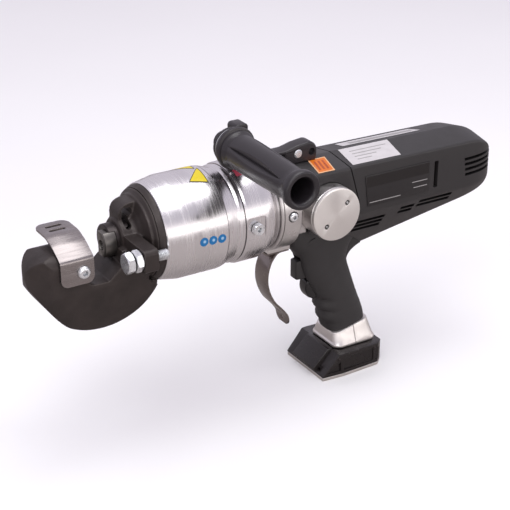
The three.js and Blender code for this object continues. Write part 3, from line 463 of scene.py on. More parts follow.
def head_plate():
    """The flat C-shaped body: its side outline, rim, section and plan, all met together."""
    front = HEAD_X - HEAD_R
    outline = arc(HEAD_X, HEAD_Z, HEAD_R, -28, -112, 50)
    outline += curve3((-230.6, -74.6), (-246, -68.4), (front + 0.8, -24), 14)
    outline += curve3((front + 0.6, -23), (front - 3.5, 2), (front + 21.5, HEAD_TOP), 14)
    outline += [(HOOK_FACE - 10, HEAD_TOP), (HOOK_FACE, HEAD_TOP - 6)]
    outline += arc(HOOK_FACE + 9, THROAT_FLOOR + 9, 9, 180, 270, 10)
    outline += [(HUB_FACE - 14, THROAT_FLOOR), (HUB_FACE, THROAT_FLOOR + 12), (HUB_FACE, -2)]
    outline += [(CYLINDER_FRONT - 2, 4), (CYLINDER_FRONT - 2, -37)]
    plate = prism("cutter_head_look", "y", outline, HEAD_NEAR, HEAD_FAR)
    belly = disc_with_soft_rim(HEAD_R, HEAD_NEAR, HEAD_FAR, (HEAD_X, HEAD_Z))
    low = HEAD_Z - HEAD_R - 2
    across = arc(HEAD_FAR - 15, HEAD_TOP - 15, 15, 0, 90) + arc(HEAD_NEAR + 12, HEAD_TOP - 12, 12, 90, 180)
    across += [(HEAD_NEAR, NEAR_CREASE), (HEAD_NEAR + 11, low)]
    across += [(HEAD_FAR - 6, low), (HEAD_FAR, NEAR_CREASE)]
    top = prism("top", "x", across, -280, -140)
    plan = [(-140, HEAD_NEAR), (-254, HEAD_NEAR), (-257, HEAD_NEAR + 1.4)]
    plan += curve3((-262, HEAD_NEAR + 6), (-283, -3), (-265, 12), 12) + [(-252, HEAD_FAR), (-140, HEAD_FAR)]
    return meet(plate, belly, top, prism("plan", "z", plan, -90, 20))


def cutter_head():
    head = head_plate()
    hub = turned("hub", "x", [
        (-182, 0), (-182, 18.5), (-180, 20.5), (-171, 20.5), (-167.5, 22.5), (-164.5, 29), (-162, 38),
        (CYLINDER_FRONT - 2, 38.6), (CYLINDER_FRONT, 42), (-153.5, 44.4),
        (COLLAR_REAR, 45.4), (COLLAR_REAR, 0)])
    fin_outline = [(-180, 8), (-180, 24)] + arc(-168.5, 23.5, 11.5, 180, 90) + [(-159, 36), (-159, 8)]
    fin = bevel(prism("fin", "y", fin_outline, -7, 12), 1, 2)
    lug = prism("lug", "x", rounded(STOP_Y - 10, -12, STOP_Z - 11, STOP_Z + 11, 5), LUG_FRONT, LUG_REAR)
    head = melt(join(head, hub, fin, lug), 0.75, 2)
    nose = turned("nose", "x", [(COLLAR_REAR, 0), (COLLAR_REAR, 51), (-130, 51), (-130, 0)])
    spigot = turned("spigot", "x", [(COLLAR_REAR - 2, 0), (COLLAR_REAR - 2, 33.8), (-126, 33.8), (-126, 0)])
    keyhole = rounded(-176.8, -170.2, 13, 31.5, 3.2)
    slot = join(prism("slot", "y", keyhole, -16, 16), rod("bulb", "y", 4.6, -16, 16, (-170.5, 26.8)))
    groove = turned("groove", "x", [(-157.2, 41.8), (-157.2, 48), (-156.2, 48), (-156.2, 41.8)])
    bore = rod("bore", "x", RAM_R + 0.06, -200, -125, (0, 0), 96)
    pocket = block("pocket", HOOK_FACE - 8, HOOK_FACE + 1, 0, 15, -15, 3)
    bolt_hole = rod("bolt_hole", "x", 5.2, LUG_FRONT - 2, LUG_REAR + 2, (STOP_Y, STOP_Z))
    screw_hole = rod("screw_hole", "y", 2.6, -27, -12, GUARD_SCREW)
    far_hole = rod("far_hole", "y", 2.6, 0, 27, (HOOK_FACE - 4, -6))
    head = join(cut(head, nose), spigot)
    cut(head, slot, groove, bore, pocket, bolt_hole, screw_hole, far_hole)
    finish_piece(head, FORGED, "tool", ["cutter_head"], 42)


def moving_cutter():
    disc = turned("moving_cutter_look", "x", [
        (CUTTER_FACE, 0), (CUTTER_FACE, 14.2), (CUTTER_FACE + 1.2, 15.5),
        (RAM_NOSE + 6, 15.5), (RAM_NOSE + 6, 0)])
    meet(disc, block("kept", CUTTER_FACE - 1, RAM_NOSE + 6.1, -20, -0.3, -11, 12))
    screw = (-7, 0)
    cut(disc, rod("hole", "x", 3.3, -200, -180, screw), rod("sink", "x", 5, -200, CUTTER_FACE + 1.6, screw))
    finish_piece(bevel(disc, 0.35, 2), TOOL_STEEL, "ram", ["moving_cutter"])


def ram():
    barrel = turned("ram_look", "x", [
        (RAM_NOSE, 0), (RAM_NOSE, 15), (RAM_NOSE + 1, RAM_R), (-82, RAM_R), (-82, 33.9), (-75, 33.9),
        (-75, 30), (-69, 30), (-69, 33.9), (-62, 33.9), (-62, 0)])
    cut(barrel, block("pocket", RAM_NOSE - 1, RAM_NOSE + 6.4, -20, 0, -11.4, 12.4))
    # The ram's near-black colour is painted shade, standing in for the shadowed notch beside the moving
    # cutter.
    finish_piece(barrel, BLACKED, "ram", ["ram"])


def return_spring():
    """Round wire between the head's tail and the piston, built at one length; on the tool it shortens as
    the ram goes out.
    """
    coils, wire_r, coil_r, steps, sides = 5, 1.6, 24, 180, 12
    length = SPRING_REAR - SPRING_FRONT
    climb = length / (2 * math.pi * coils)
    lean = math.hypot(climb, coil_r)
    rings = []
    for i in range(steps + 1):
        turn = 2 * math.pi * coils * i / steps
        out = Vector((0, math.cos(turn), math.sin(turn)))
        side = Vector((coil_r, climb * math.sin(turn), -climb * math.cos(turn))) / lean
        middle = Vector((SPRING_FRONT + length * i / steps, 0, 0)) + out * coil_r
        angles = [2 * math.pi * k / sides for k in range(sides)]
        ring = [middle + out * (wire_r * math.cos(t)) + side * (wire_r * math.sin(t)) for t in angles]
        rings.append([tuple(p) for p in ring])
    spring = loft("return_spring_look", rings)
    finish_piece(spring, TOOL_STEEL, "tool", ["return_spring"])
    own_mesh(spring)


# ---- Guard plate ----
def bent_strip(name, axis, path, thickness, a0, a1):
    """A strip of sheet of even thickness along a path of points."""
    sides = ([], [])
    for i, (p, q) in enumerate(path):
        before = path[max(i - 1, 0)]
        after = path[min(i + 1, len(path) - 1)]
        run = math.hypot(after[0] - before[0], after[1] - before[1])
        across = ((before[1] - after[1]) / run, (after[0] - before[0]) / run)
        for side, sign in zip(sides, (0.5, -0.5)):
            side.append((p + across[0] * sign * thickness, q + across[1] * sign * thickness))
    return prism(name, axis, sides[0] + sides[1][::-1], a0, a1)


def with_bends(points, radius, steps=5):
    """A path whose corners are replaced by short curves."""
    path = [points[0]]
    for before, here, after in zip(points, points[1:], points[2:]):
        reach = min(radius, math.dist(before, here) / 2.1, math.dist(here, after) / 2.1)
        start = tuple(h + (b - h) * reach / math.dist(before, here) for b, h in zip(before, here))
        end = tuple(h + (a - h) * reach / math.dist(here, after) for a, h in zip(after, here))
        path += curve3(start, here, end, steps)
    return path + [points[-1]]


def cutter_guard():
    x0, x1, low = -248, -215.5, -22.8
    path = with_bends([(-27.4, low), (-27.4, 1.5), (-16, 8.4), (-11.5, 11), (2, 15.5), (30, 15.5)], 2.5)
    plate = bent_strip("cutter_guard_look", "x", path, 2, x0, x1)
    meet(plate, prism("front", "y", rounded(x0, x1, low, 40, 7), -40, 40),
         prism("plan", "z", rounded(x0, x1, -60, 30, 9), -40, 40))
    slots = [prism("slot", "z", rounded(-240, -224, y - 1.9, y + 1.9, 1.6), 10, 20) for y in (11.5, 20.5)]
    cut(plate, rod("hole", "y", 2.8, -30, -25, GUARD_SCREW), *slots)
    finish_piece(bevel(plate, 0.35, 2, 50), STAINLESS, "tool", ["cutter_guard"], 25)


# ---- Fasteners ----
def button_screw(name, axis, a_top, a_face, a_end, radius, centre, node):
    """A button-head screw with a hexagon socket; its head runs from a_top down to a_face."""
    height = a_face - a_top
    steps = 6
    dome = [(a_top + height * (1 - math.sin(t)), radius * (0.55 + 0.45 * math.cos(t)))
            for t in (math.pi / 2 * k / steps for k in range(steps + 1))]
    profile = [(a_top, 0), *reversed(dome), (a_face, radius * 0.5), (a_end, radius * 0.5), (a_end, 0)]
    screw = turned(name, axis, profile, centre, 48)
    cut(screw, hexagon("socket", axis, radius * 0.8, a_top - height, a_top + height * 0.7, centre, 0.3))
    finish_piece(screw, ZINC, "tool", [node], 28)


def hex_piece(name, axis, flats, a0, a1, centre, turn=0.0):
    """A hexagon head or nut with both its ends chamfered round."""
    piece = hexagon(name, axis, flats, a0, a1, centre, turn)
    wide, narrow = flats * 0.61, flats * 0.47
    ends = [(a0 - 0.1, 0), (a0 - 0.1, narrow), (a0 + 1.6, wide),
            (a1 - 1.6, wide), (a1 + 0.1, narrow), (a1 + 0.1, 0)]
    return meet(piece, turned("chamfer", axis, ends, centre, 72))


def threaded_rod(name, axis, radius, a0, a1, centre, pitch=1.5):
    """A rod with thread-like ridges along it."""
    ridges = [(a0, 0), (a0, radius - 0.9)]
    for k in range(int((a1 - a0) / pitch)):
        a = a0 + k * pitch
        ridges += [(a + pitch * 0.25, radius), (a + pitch * 0.75, radius - 0.7)]
    return turned(name, axis, ridges + [(a1, radius - 0.9), (a1, 0)], centre, 48)


def stopper():
    centre = (STOP_Y, STOP_Z)
    bolt = join(hex_piece("stopper_bolt_look", "x", 18, -196.5, -189.5, centre, 0.4),
                threaded_rod("thread", "x", 5, -189.7, -153.5, centre))
    finish_piece(bolt, ZINC, "stopper", ["stopper_bolt"], 28)
    nut = hex_piece("stopper_locknut_look", "x", 18, -188, -181.3, centre, 0.15)
    cut(nut, rod("hole", "x", 5.1, -190, -170, centre))
    finish_piece(nut, ZINC, "tool", ["stopper_locknut"], 28)


def release_valve():
    valve = hex_piece("release_valve_look", "y", 11, -54, -48.6, VALVE, 0.3)
    join(valve, rod("stem", "y", 3.95, -48.8, -40.6, VALVE))
    cut(valve, hexagon("socket", "y", 4.5, -56, -51, VALVE))
    finish_piece(valve, ZINC, "release_valve", ["release_valve"], 28)


# ---- Cylinder ----
def cylinder():
    outside = [
        (COLLAR_REAR + 0.2, 44), (COLLAR_REAR + 0.2, 45.6), (-149.6, 46.4), (-131.5, 49.8),  # nose
        (-129, CYLINDER_R), (-89.6, CYLINDER_R), (-89.2, 49.1), (-88.4, 49.1), (-88, 49.8), (-86, 49.4),
        (-78, 46.9), (-76.5, 46.5), (-75, 46.5), (-72.6, 47.9), (-72, 48), (-69.8, 48),  # waist
        (-69.5, 47.3), (-68.8, 47.3), (-68.5, 48.6), (-66.6, BAND_R), (-45, BAND_R), (-43.5, 49.2),
        (-36.5, 46.3), (-35.5, 45.6), (-31.6, 43.3), (-30.5, 43), (-28.3, 43)]
    inside = [(-28.3, 6), (-42, 6), (-42, 34), (COLLAR_REAR + 0.2, 34)]
    body = turned("cylinder_look", "x", outside + inside, steps=192)
    cut(body, prism("flat", "y", rounded(-68, -48, -11, 11, 2.5), -60, -48.2),
        rod("valve_bore", "y", 4.1, -50, -40, VALVE))
    finish_piece(body, TURNED, "tool", ["cylinder_body"], 24)


def on_cylinder(name, centre, points, lift, surface, radius=CYLINDER_R):
    """A thin print on the cylinder: points are (along x, round the wall) from its centre (x, degrees)."""
    x0, turn = centre
    vertices, faces = [], []
    rings = 5
    for k in range(rings + 1):
        for p, q in points:
            angle = math.radians(turn) + q * k / rings / radius
            r = radius + lift
            vertices.append((x0 + p * k / rings, -r * math.cos(angle), r * math.sin(angle)))
    count = len(points)
    for k in range(rings):
        for i in range(count):
            n = (i + 1) % count
            faces.append((k * count + i, k * count + n, (k + 1) * count + n, (k + 1) * count + i))
    finish_piece(new_object(name, vertices, faces), surface, "tool")


def subdivided(points, parts=6):
    """The same outline with more points along its sides."""
    result = []
    for a, b in zip(points, points[1:] + points[:1]):
        result += [tuple(p + (q - p) * k / parts for p, q in zip(a, b)) for k in range(parts)]
    return result


def cylinder_prints():
    """Blank marks: two black-edged yellow triangles, three blue dots and a red patch."""
    triangles = ((77, [(-13, -6.5), (5, -12.5), (7, 15)]), (106, [(-13, 6), (4, -12), (8, 9)]))
    for i, (turn, corners) in enumerate(triangles):
        inner = [(p * 0.86, q * 0.86) for p, q in corners]
        on_cylinder(f"warning_edge_{i + 1}", (-99, turn), subdivided(corners), 0.1, BLACK_PRINT)
        on_cylinder(f"warning_field_{i + 1}", (-99, turn), subdivided(inner), 0.16, YELLOW)
    for i, x in enumerate((-115, -105.6, -96.2)):
        spot = (x, -0.5 * i)
        on_cylinder(f"blue_dot_{i + 1}", spot, arc(0, 0, 4.3, 0, 350, 35), 0.12, BLUE)
        on_cylinder(f"blue_dot_mark_{i + 1}", spot, arc(0.4, 0.3, 1.5, 0, 340, 17), 0.18, PALE_BLUE)
    on_cylinder("red_print", (-59, 71), subdivided([(-5, -7), (5, -6), (5, 5), (-5, 4)]), 0.1, RED, BAND_R)


# ---- Pump housing ----
def pump_case():
    flange = turned("pump_case_look", "x", [
        (-28, 0), (-28, 45.6), (-27.2, 46.6), (-26.3, 46.6), (-25.9, 45.7), (-25.2, 45.7), (-24.8, 46.6),
        (-6.6, 46.6), (-4.6, 44.8), (-4.3, 44), (-4.3, 0)])
    body = bevel(block("body", -6, 14.7, -25, 25, -31, 21.4), 2.5, 4)
    saddle = bevel(block("saddle", -24, 2, -14, 14, -50, -30), 1.5, 3)
    pot = turned("pot", "y", [(-45.7, 0), (-45.7, CAP_R - 0.6), (-45.1, CAP_R), (-17.5, CAP_R), (-17.5, 0)],
                 (CAP_X, CAP_Z))
    join(flange, body, saddle, pot)
    cut(flange, rod("pot_bore", "y", CAP_R - 4, -50, -21, (CAP_X, CAP_Z), 72),
        rod("gear_room", "x", 13, 0, 25, (0, -15.15)), rod("strap_hole", "z", 2.6, -52, -42, STRAP_SCREW),
        rod("side_hole", "y", 5.5, -60, -42.5, SIDE_SCREW))
    finish_piece(bevel(flange, 0.5, 2, 50), CAST, "tool", ["pump_case"], 26)


def reservoir_cap():
    face = [(CAP_FACE, 0), (CAP_FACE, CAP_R - 1.4), (CAP_FACE + 0.4, CAP_R - 0.4), (CAP_FACE + 1.4, CAP_R),
            (-46.5, CAP_R), (-46, CAP_R - 0.5), (-46, CAP_R - 4.2), (-41, CAP_R - 4.2), (-41, 0)]
    disc = turned("reservoir_cap_look", "y", face, (CAP_X, CAP_Z), 192)
    pin_spots = [(CAP_X + s * 11.6, CAP_Z + s * 10.2) for s in (1, -1)]
    cut(disc, *[rod("hole", "y", 2.7, CAP_FACE - 2, -46.6, spot) for spot in pin_spots])
    finish_piece(bevel(disc, 0.3, 2, 50), DISC, "tool", ["reservoir_cap"], 24)
    for side, (x, z) in zip(("upper", "lower"), pin_spots):
        # Painted shade: a near-black disc sits at the bottom of each pin hole.
        floor = rod(f"cap_hole_shade_disc_{side}", "y", 2.66, -47, -46.7, (x, z))
        finish_piece(floor, DARK)
        profile = [(-48.9, 0), (-48.7, 0.9), (-48, 1.3), (-47.05, 1.3), (-47.05, 0)]
        pin = turned(f"cap_hole_pin_{side}", "y", profile, (x + 0.5, z - 0.3), 24)
        finish_piece(pin, ZINC, "tool")


# ---- Side handle and bracket ----
def side_handle():
    """A hollow grip with long tapering flutes round it."""
    stations = [(HANDLE_ROOT, 19), (-18.6, 20.2), (-21, 20.8), (-22.6, 20.2), (-23.2, 18.4), (-24.4, 18),
                (-26, 18.6), (-27.4, 18.2), (-29.4, 16.4), (-33, 16.6), (-45, 17), (-60, 17), (-80, 16.7),
                (-100, 16), (-112, 15.5), (-118, 15.2), (-122, 15.2), (-124, 15.8), (-126, 17.2),
                (-128, 17.9), (-132, 18), (-134.2, 17.6), (HANDLE_END, 16.4), (-134.6, 13.6),
                (-133.2, 12.2), (-131, 11.6), (-56, 11.4), (-56, 6.1), (HANDLE_ROOT, 6.1)]
    steps, flutes, flute_depth = 240, 4, 4.2
    flute_root, flute_length = -31, 87
    path = []
    for (y0, r0), (y1, r1) in zip(stations, stations[1:] + stations[:1]):
        parts = max(1, int(abs(y1 - y0) / 2.5))
        path += [(y0 + (y1 - y0) * k / parts, r0 + (r1 - r0) * k / parts) for k in range(parts)]
    inside = next(i for i, (y, r) in enumerate(path) if y <= HANDLE_END)
    vertices, faces = [], []
    for i, (y, r) in enumerate(path):
        share = (flute_root - y) / flute_length
        fluted = i < inside and 0 < share < 1
        depth = flute_depth * math.sin(math.pi * share) ** 0.7 if fluted else 0
        width = 0.03 + 0.34 * math.sin(math.pi * min(1, max(0, share)))
        sag = HANDLE_SAG * (HANDLE_ROOT - y) / (HANDLE_ROOT - HANDLE_END)
        for k in range(steps):
            angle = 2 * math.pi * k / steps
            wave = abs((k / steps - FLUTE_TURN / 360) * flutes % 1 - 0.5) * 2
            out = r - depth * max(0, 1 - wave / width)
            vertices.append((HANDLE_X + out * math.cos(angle), y, HANDLE_Z - sag + out * math.sin(angle)))
    count = len(path)
    for i in range(count):
        n = (i + 1) % count
        for k in range(steps):
            m = (k + 1) % steps
            faces.append((i * steps + k, i * steps + m, n * steps + m, n * steps + k))
    handle = new_object("side_handle_look", vertices, faces)
    finish_piece(handle, HANDLE_PLASTIC, nodes=["side_handle"], angle=50)


def handle_bracket():
    profile = [(-17.7, 0), (-17.7, 18.5), (-15.6, 18.5), (-15.4, 15.5), (-13.4, 15.5), (-13.2, 18),
               (-11.6, 18), (-11.4, 14), (-10.2, 14), (-10, 17), (-8.8, 17), (-8.6, 10), (3, 10), (3, 0)]
    boss = turned("handle_bracket_look", "y", profile, (HANDLE_X, HANDLE_Z), 96)
    ear = prism("ear", "y", rounded(-57, -43, 70, 88.5, 3.5), -9, 7)
    outline = [(-68, 57.5), (-58, 52), (-40, 50.5), (-26, 48), (-2, 48), (0, 36), (34, 36), (35, 44)]
    outline += arc(25, 46.5, 10, 0, 100, 12)
    outline += [(12, 55), (0, 52), (-24, 51.8), (-42, 57), (-50, 72)]
    arm = bevel(prism("arm", "y", outline, -9, 7), 2.2, 4)
    join(boss, bevel(ear, 1.5, 3), arm)
    cut(boss, rod("stud_hole", "y", 6.1, -19, 8, (HANDLE_X, HANDLE_Z)),
        rod("eyelet", "y", 3.6, -10, 10, (28.5, 46)), rod("seat", "y", 4.9, -12, -7.6, (13, 46.5)))
    finish_piece(bevel(boss, 0.4, 2, 45), HANDLE_PLASTIC, nodes=["handle_bracket"])
    ring = turned("handle_washer", "y", [(-15.3, 15.6), (-15.3, 17.6), (-13.5, 17.6), (-13.5, 15.6)],
                  (HANDLE_X, HANDLE_Z), 96)
    finish_piece(ring, ZINC, "tool")


# ---- Front cover and motor housing ----
def belly_height(x):
    """The level front part of the belly, then its slope up to the rear."""
    (x0, z0), (x1, z1) = BELLY_FRONT, BELLY_REAR
    return z0 + max(0, x - x0) * (z1 - z0) / (x1 - x0)


def housing_section(x):
    """The housing's outline across it at one place, with softly rounded long edges."""
    past = max(0, x - DOME_START) / (HOUSING_REAR - DOME_START)
    narrow = (1 - past ** DOME_FULLNESS) ** (1 / DOME_FULLNESS)
    low_narrow = (1 - past ** DOME_LOW_FULLNESS) ** (1 / DOME_LOW_FULLNESS)
    drop = CROWN_FALL * (x - SEAM_TOP)
    belly = belly_height(x)
    side = HOUSING_HALF
    flat = side - (CREASE_LOW - belly) / math.sqrt(3)
    upper = [(-side, CREASE_TOP - drop), (0, RIDGE - drop), (side, CREASE_TOP - drop)]
    lower = [(side, CREASE_LOW), (flat, belly), (-flat, belly), (-side, CREASE_LOW)]
    corners = [(y * narrow, DOME_MIDDLE + (z - DOME_MIDDLE) * narrow) for y, z in upper]
    corners += [(y * narrow, DOME_MIDDLE + (z - DOME_MIDDLE) * low_narrow) for y, z in lower]
    ring = with_bends([corners[-1], *corners, corners[0]], 2.8, 4)[1:-1]
    return [(x, y, z) for y, z in ring]


def housing_hull(name):
    """The outside of the motor housing as one solid that ends in a dome."""
    reach, steps = HOUSING_REAR - DOME_START, 20
    spots = [HOUSING_FRONT, BELLY_FRONT[0], DOME_START]
    spots += [DOME_START + reach * math.sin(math.pi / 2 * k / steps) for k in range(1, steps)]
    short = 0.04  # the last section stays off the dome's own point
    spots.append(HOUSING_REAR - short)
    return loft(name, [housing_section(x) for x in spots])


def ahead_of_seam(back):
    """All that lies in front of the seam between the cover and the shells, moved back by so much."""
    line = [(47, 60), (SEAM_TOP, CREASE_TOP), (70, -6), (68, -40), (60, -90)]
    return prism("ahead", "y", [(-30, 60), *[(x + back, z) for x, z in line], (-30, -90)], -60, 60)


def below_neck(lift):
    """All that lies under the line where the housing meets the grip, raised by the lift."""
    line = [(-20, -31), (14, -31), (40, -36), (74, -52), (96, -69), (160, -120), (-20, -120)]
    return prism("below", "y", [(x, z + lift) for x, z in line], -60, 60)


def front_cover():
    cover = meet(housing_hull("front_cover_look"), ahead_of_seam(-1.1))
    cut(cover, block("pump_side", -10, 15, -60, 60, -90, 21.7), below_neck(0),
        rod("pot_hole", "y", CAP_R + 0.4, -60, -16, (CAP_X, CAP_Z), 96),
        rod("core", "x", 24, -10, 62, (0, -2), 64))
    finish_piece(bevel(cover, 0.45, 2, 40), PLASTIC, nodes=["front_cover"], angle=28)


def vent(name, axis, a0, a1, b0, b1, depth0, depth1):
    return prism(name, axis, rounded(a0, a1, b0, b1, min(0.7, (b1 - b0) * 0.45), 4), depth0, depth1)


def motor_housing():
    """The two shells as one piece, with its vents cut through and the joint between the shells."""
    shell = cut(housing_hull("motor_housing_look"), ahead_of_seam(0), below_neck(0.02))
    slits = []
    for side in (-1, 1):
        for i in range(4):
            z = 10.3 - i * 5.7
            deep = on_side(side, 14, 45)
            slits.append(vent("slit", "y", 201 + i * 0.7, 260, z - 1.6, z + 1.6, *deep))
        slits.append(vent("window", "y", 162, 167, -12.4, 16.2, *on_side(side, 27, 45)))
    for side in (-1, 1):
        for x0, x1, top, count in ((62, 108, -33.5, 3), (125, 142.5, -28.5, 2), (147, 189, -25.2, 2)):
            for i in range(count):
                z = top - i * 5.4
                edge = HOUSING_HALF - (CREASE_LOW - z) / math.sqrt(3)
                through = on_side(side, edge - 6, edge + 6)
                slits.append(vent("slit", "y", x0 - i, x1 - i, z - 1.9, z + 1.9, *through))
    cut(shell, *slits)
    gap = 0.15
    cut(shell, block("split", 40, 260, -gap, gap, 24, 60), block("split_low", 60, 260, -gap, gap, -90, -40))
    finish_piece(shell, PLASTIC, nodes=["motor_shell_left", "motor_shell_right"], angle=28)


def top_height(x, y):
    """Height of the housing's crown."""
    fall = CROWN_FALL * (x - SEAM_TOP)
    return RIDGE - abs(y) * (RIDGE - CREASE_TOP) / HOUSING_HALF - fall


def top_label(name, corners, lift, surface):
    """A flat label laid on one side of the crown."""
    base = [(x, y, top_height(x, y) + lift) for x, y in corners]
    under = [(x, y, z - 0.1) for x, y, z in base]
    finish_piece(loft(name, [base, under]), surface)


def housing_prints():
    """Blank labels on the crown, with plain bars in place of print."""
    top_label("orange_label", [(22, -31.5), (41, -31.5), (45, -7), (25, -7)], 0.35, PALE_ORANGE)
    top_label("orange_field", [(23.6, -30), (39.8, -30), (43.4, -8.5), (26.4, -8.5)], 0.5, ORANGE)
    for i in range(3):
        x = 26 + i * 4.6
        bar = [(x, -27), (x + 2.2, -27), (x + 4.6, -12), (x + 2.4, -12)]
        top_label(f"orange_bar_{i + 1}", bar, 0.6, DARK_ORANGE)
    top_label("silver_label", [(63, -30), (121, -30), (125, -0.8), (65, -0.8)], 0.35, SILVER_PRINT)
    for i in range(4):
        y, x1 = -8 - i * 5, 118 - i * 9
        top_label(f"silver_line_{i + 1}", [(74, y), (x1, y), (x1, y + 1.1), (74, y + 1.1)], 0.5, GREY_PRINT)
    top_label("strip_label", [(78, 9), (175, 9), (170, 24), (78, 24)], 0.35, SILVER_PRINT)
    top_label("strip_bars", [(90, 13), (168, 13), (168, 19), (90, 19)], 0.5, GREY_PRINT)


def nameplate():
    """A dark plate on the housing's side, with a darker band and three pale rules instead of lettering."""
    y = -HOUSING_HALF
    outline = [(76, 18), (156, 18), (156, -15), (80, -15)]
    plate = bevel(prism("nameplate_look", "y", outline, y - 0.75, y - 0.3), 0.3, 2)
    finish_piece(plate, PLATE, nodes=["nameplate"])
    band = [(77.2, 16.8), (154.8, 16.8), (154.8, 5.5), (78.4, 5.5)]
    finish_piece(prism("nameplate_band", "y", band, y - 0.85, y - 0.7), BAND)
    for i, (x0, x1, z) in enumerate(((134, 153, -1), (136, 153, -7), (82, 120, -11.5))):
        line = [(x0, z), (x1, z), (x1, z + 0.9), (x0, z + 0.9)]
        finish_piece(prism(f"nameplate_rule_{i + 1}", "y", line, y - 0.85, y - 0.7), GREY_PRINT)


# ---- Pistol grip ----
def superellipse(front, rear, half, power, steps=72):
    """Points (x, y) round a section that is fuller than an ellipse."""
    middle, reach = (front + rear) / 2, (rear - front) / 2
    points = []
    for k in range(steps):
        t = 2 * math.pi * k / steps
        c, s = math.cos(t), math.sin(t)
        points.append((middle + reach * math.copysign(abs(c) ** (2 / power), c),
                       half * math.copysign(abs(s) ** (2 / power), s)))
    return points


GRIP_STATIONS = [  # height, front, rear, half width, fullness
    (-28, 14, 88, 15, 3.4), (-33, 8, 90, 16, 3.4), (-38, 5.6, 89, 16.5, 3.4), (-44, 5, 88, 17, 3.3),
    (-50, 5.6, 86, 17, 3.2), (-56, 9, 83, 17, 3), (-61, 14, 80, 17, 2.8), (-66, 17, 77.5, 17, 2.6),
    (-72, 19, 76, 17, 2.5), (-79, 20.5, 75.8, 17.2, 2.4), (-86, 23, 77.4, 17.4, 2.4)]
GRIP_STATIONS += [(z, front, rear, 17.5, power) for z, front, rear, power in (
    (-93, 26, 79.8, 2.4), (-100, 29.5, 82.2, 2.4), (-108, 34, 85, 2.4), (-115, 38, 87.4, 2.4),
    (-118, 40.6, 88.2, 2.4), (-120, 43.8, 89, 2.5), (-122, 43.4, 89.6, 2.4), (-125, 42.6, 90.6, 2.4),
    (-128, 42.4, 91.4, 2.5), (-131, 44, 92.2, 2.5), (-133.6, 48, 93, 2.6), (-135.8, 47.6, 93.7, 2.6),
    (-139, 46.8, 94.5, 2.6), (-142, 47.2, 95.2, 2.7), (-145, 48.8, 95.8, 2.8), (-148, 51.4, 96.4, 2.9),
    (-151, 52.2, 96.8, 3), (-154, 53, 97, 3.2), (-158.6, 55, 97.2, 3.4))]
FINGER_GROOVES = ((40, -120), (44.5, -134))  # x, z
GRIP_LEAN, LEAN_TOP, LEAN_REACH = 0.22, -118, 35  # slope of the lowest sections, and where it sets in


def grip():
    """Both halves of the grip as one piece: a loft that leans over towards its foot, and a web behind."""
    rings = []
    for z, front, rear, half, power in GRIP_STATIONS:
        lean = GRIP_LEAN * max(0, min(1, (LEAN_TOP - z) / LEAN_REACH))
        rings.append([(x, y, z + lean * (x - 57)) for x, y in superellipse(front, rear, half, power)])
    piece = loft("grip_look", rings)
    web = [(60, -50), (60, -90), (72, -90)] + curve3((75, -84), (74, -72.5), (92, -66.8), 10)
    web += [(96, -60), (74, -50)]
    join(piece, bevel(prism("web", "y", web, -8.5, 8.5), 2.5, 4))
    for spot in FINGER_GROOVES:
        waisted = [(-30, 0), (-30, 9), (-14, 1.4), (14, 1.4), (30, 9), (30, 0)]
        cut(piece, turned("groove", "y", waisted, spot, 48))
    above = [(-20, -31.2), (14, -31.2), (40, -36.2), (74, -52), (96, -69), (130, -69), (130, 0), (-20, 0)]
    cut(piece, prism("above", "y", above, -60, 60))
    cut(piece, block("trigger_slot", 0, 34, -6.6, 6.6, -94.6, -66.4),
        block("lever_slot", 16, 44, -7.6, 7.6, -121, -94.2), block("split", 0, 140, -0.12, 0.12, -170, -40))
    for side in (-1, 1):
        line = arc(29, -52, 9, 88, 185, 16) + arc(29, -52, 7.8, 185, 88, 16)
        cut(piece, prism("mark", "y", line, *on_side(side, 15.8, 20)))
    finish_piece(piece, GRIP_PLASTIC, nodes=["grip_left", "grip_right"], angle=38)


def trigger():
    outline = [(14.6, -91.4), (14.6, -71), (27.4, -69.6), (27.4, -92.4)]
    piece = bevel(prism("trigger_look", "y", outline, -6, 6), 1.8, 4)
    finish_piece(piece, PLASTIC, "trigger", ["trigger"])


def lower_trigger():
    outline = curve3((28, -95), (23.6, -106), (30.5, -114.6), 10)
    outline += [(37.6, -118.6), (40.6, -115.6), (38, -98), (35, -94.6)]
    piece = bevel(prism("lower_trigger_look", "y", outline, -7, 7), 2.4, 5, 25)
    cut(piece, rod("pin_hole", "y", 1.56, -9, 9, (35, -98)))
    finish_piece(piece, GLOSS, "lower_trigger", ["lower_trigger"])


# ---- Collar ----
COLLAR_STATIONS = [  # front, rear, half width, corner radius, and the height's level, slope and start
    (54, 104, 24, 9, -173.7, 0, 0), (52.8, 105, 25, 9, -172.6, 0, 0), (52.8, 105, 25, 9, -170.6, 0, 0),
    (54, 103, 23.6, 9, -168.6, 0.04, 54), (54.6, 99, 20, 8, -161, 0.17, 55),
    (55, 97.6, 18.8, 7, -158.5, 0.22, 55)]


def collar():
    """Two halves that meet on a plane, sloping up towards the rear under the grip."""
    halves = (("collar_front", 0, COLLAR_SPLIT - 0.2), ("collar_rear", COLLAR_SPLIT + 0.2, 140))
    for name, front, rear in halves:
        rings = []
        for x0, x1, half, r, level, slope, start in COLLAR_STATIONS:
            ring = rounded(x0, x1, -half, half, r)
            rings.append([(x, y, level + (x - start) * slope) for x, y in ring])
        half_collar = meet(loft(name + "_look", rings), block("keep", front, rear, -60, 60, -190, -130))
        finish_piece(bevel(half_collar, 0.5, 3, 25), SATIN, "tool", [name], 24)


# ---- Battery foot ----
def foot_outline(inset):
    near = [(31 + inset, inset - 34), (56, inset - 36), (100, inset - 34), (107 - inset, inset - 28)]
    return near + [(x, -y) for x, y in reversed(near)]


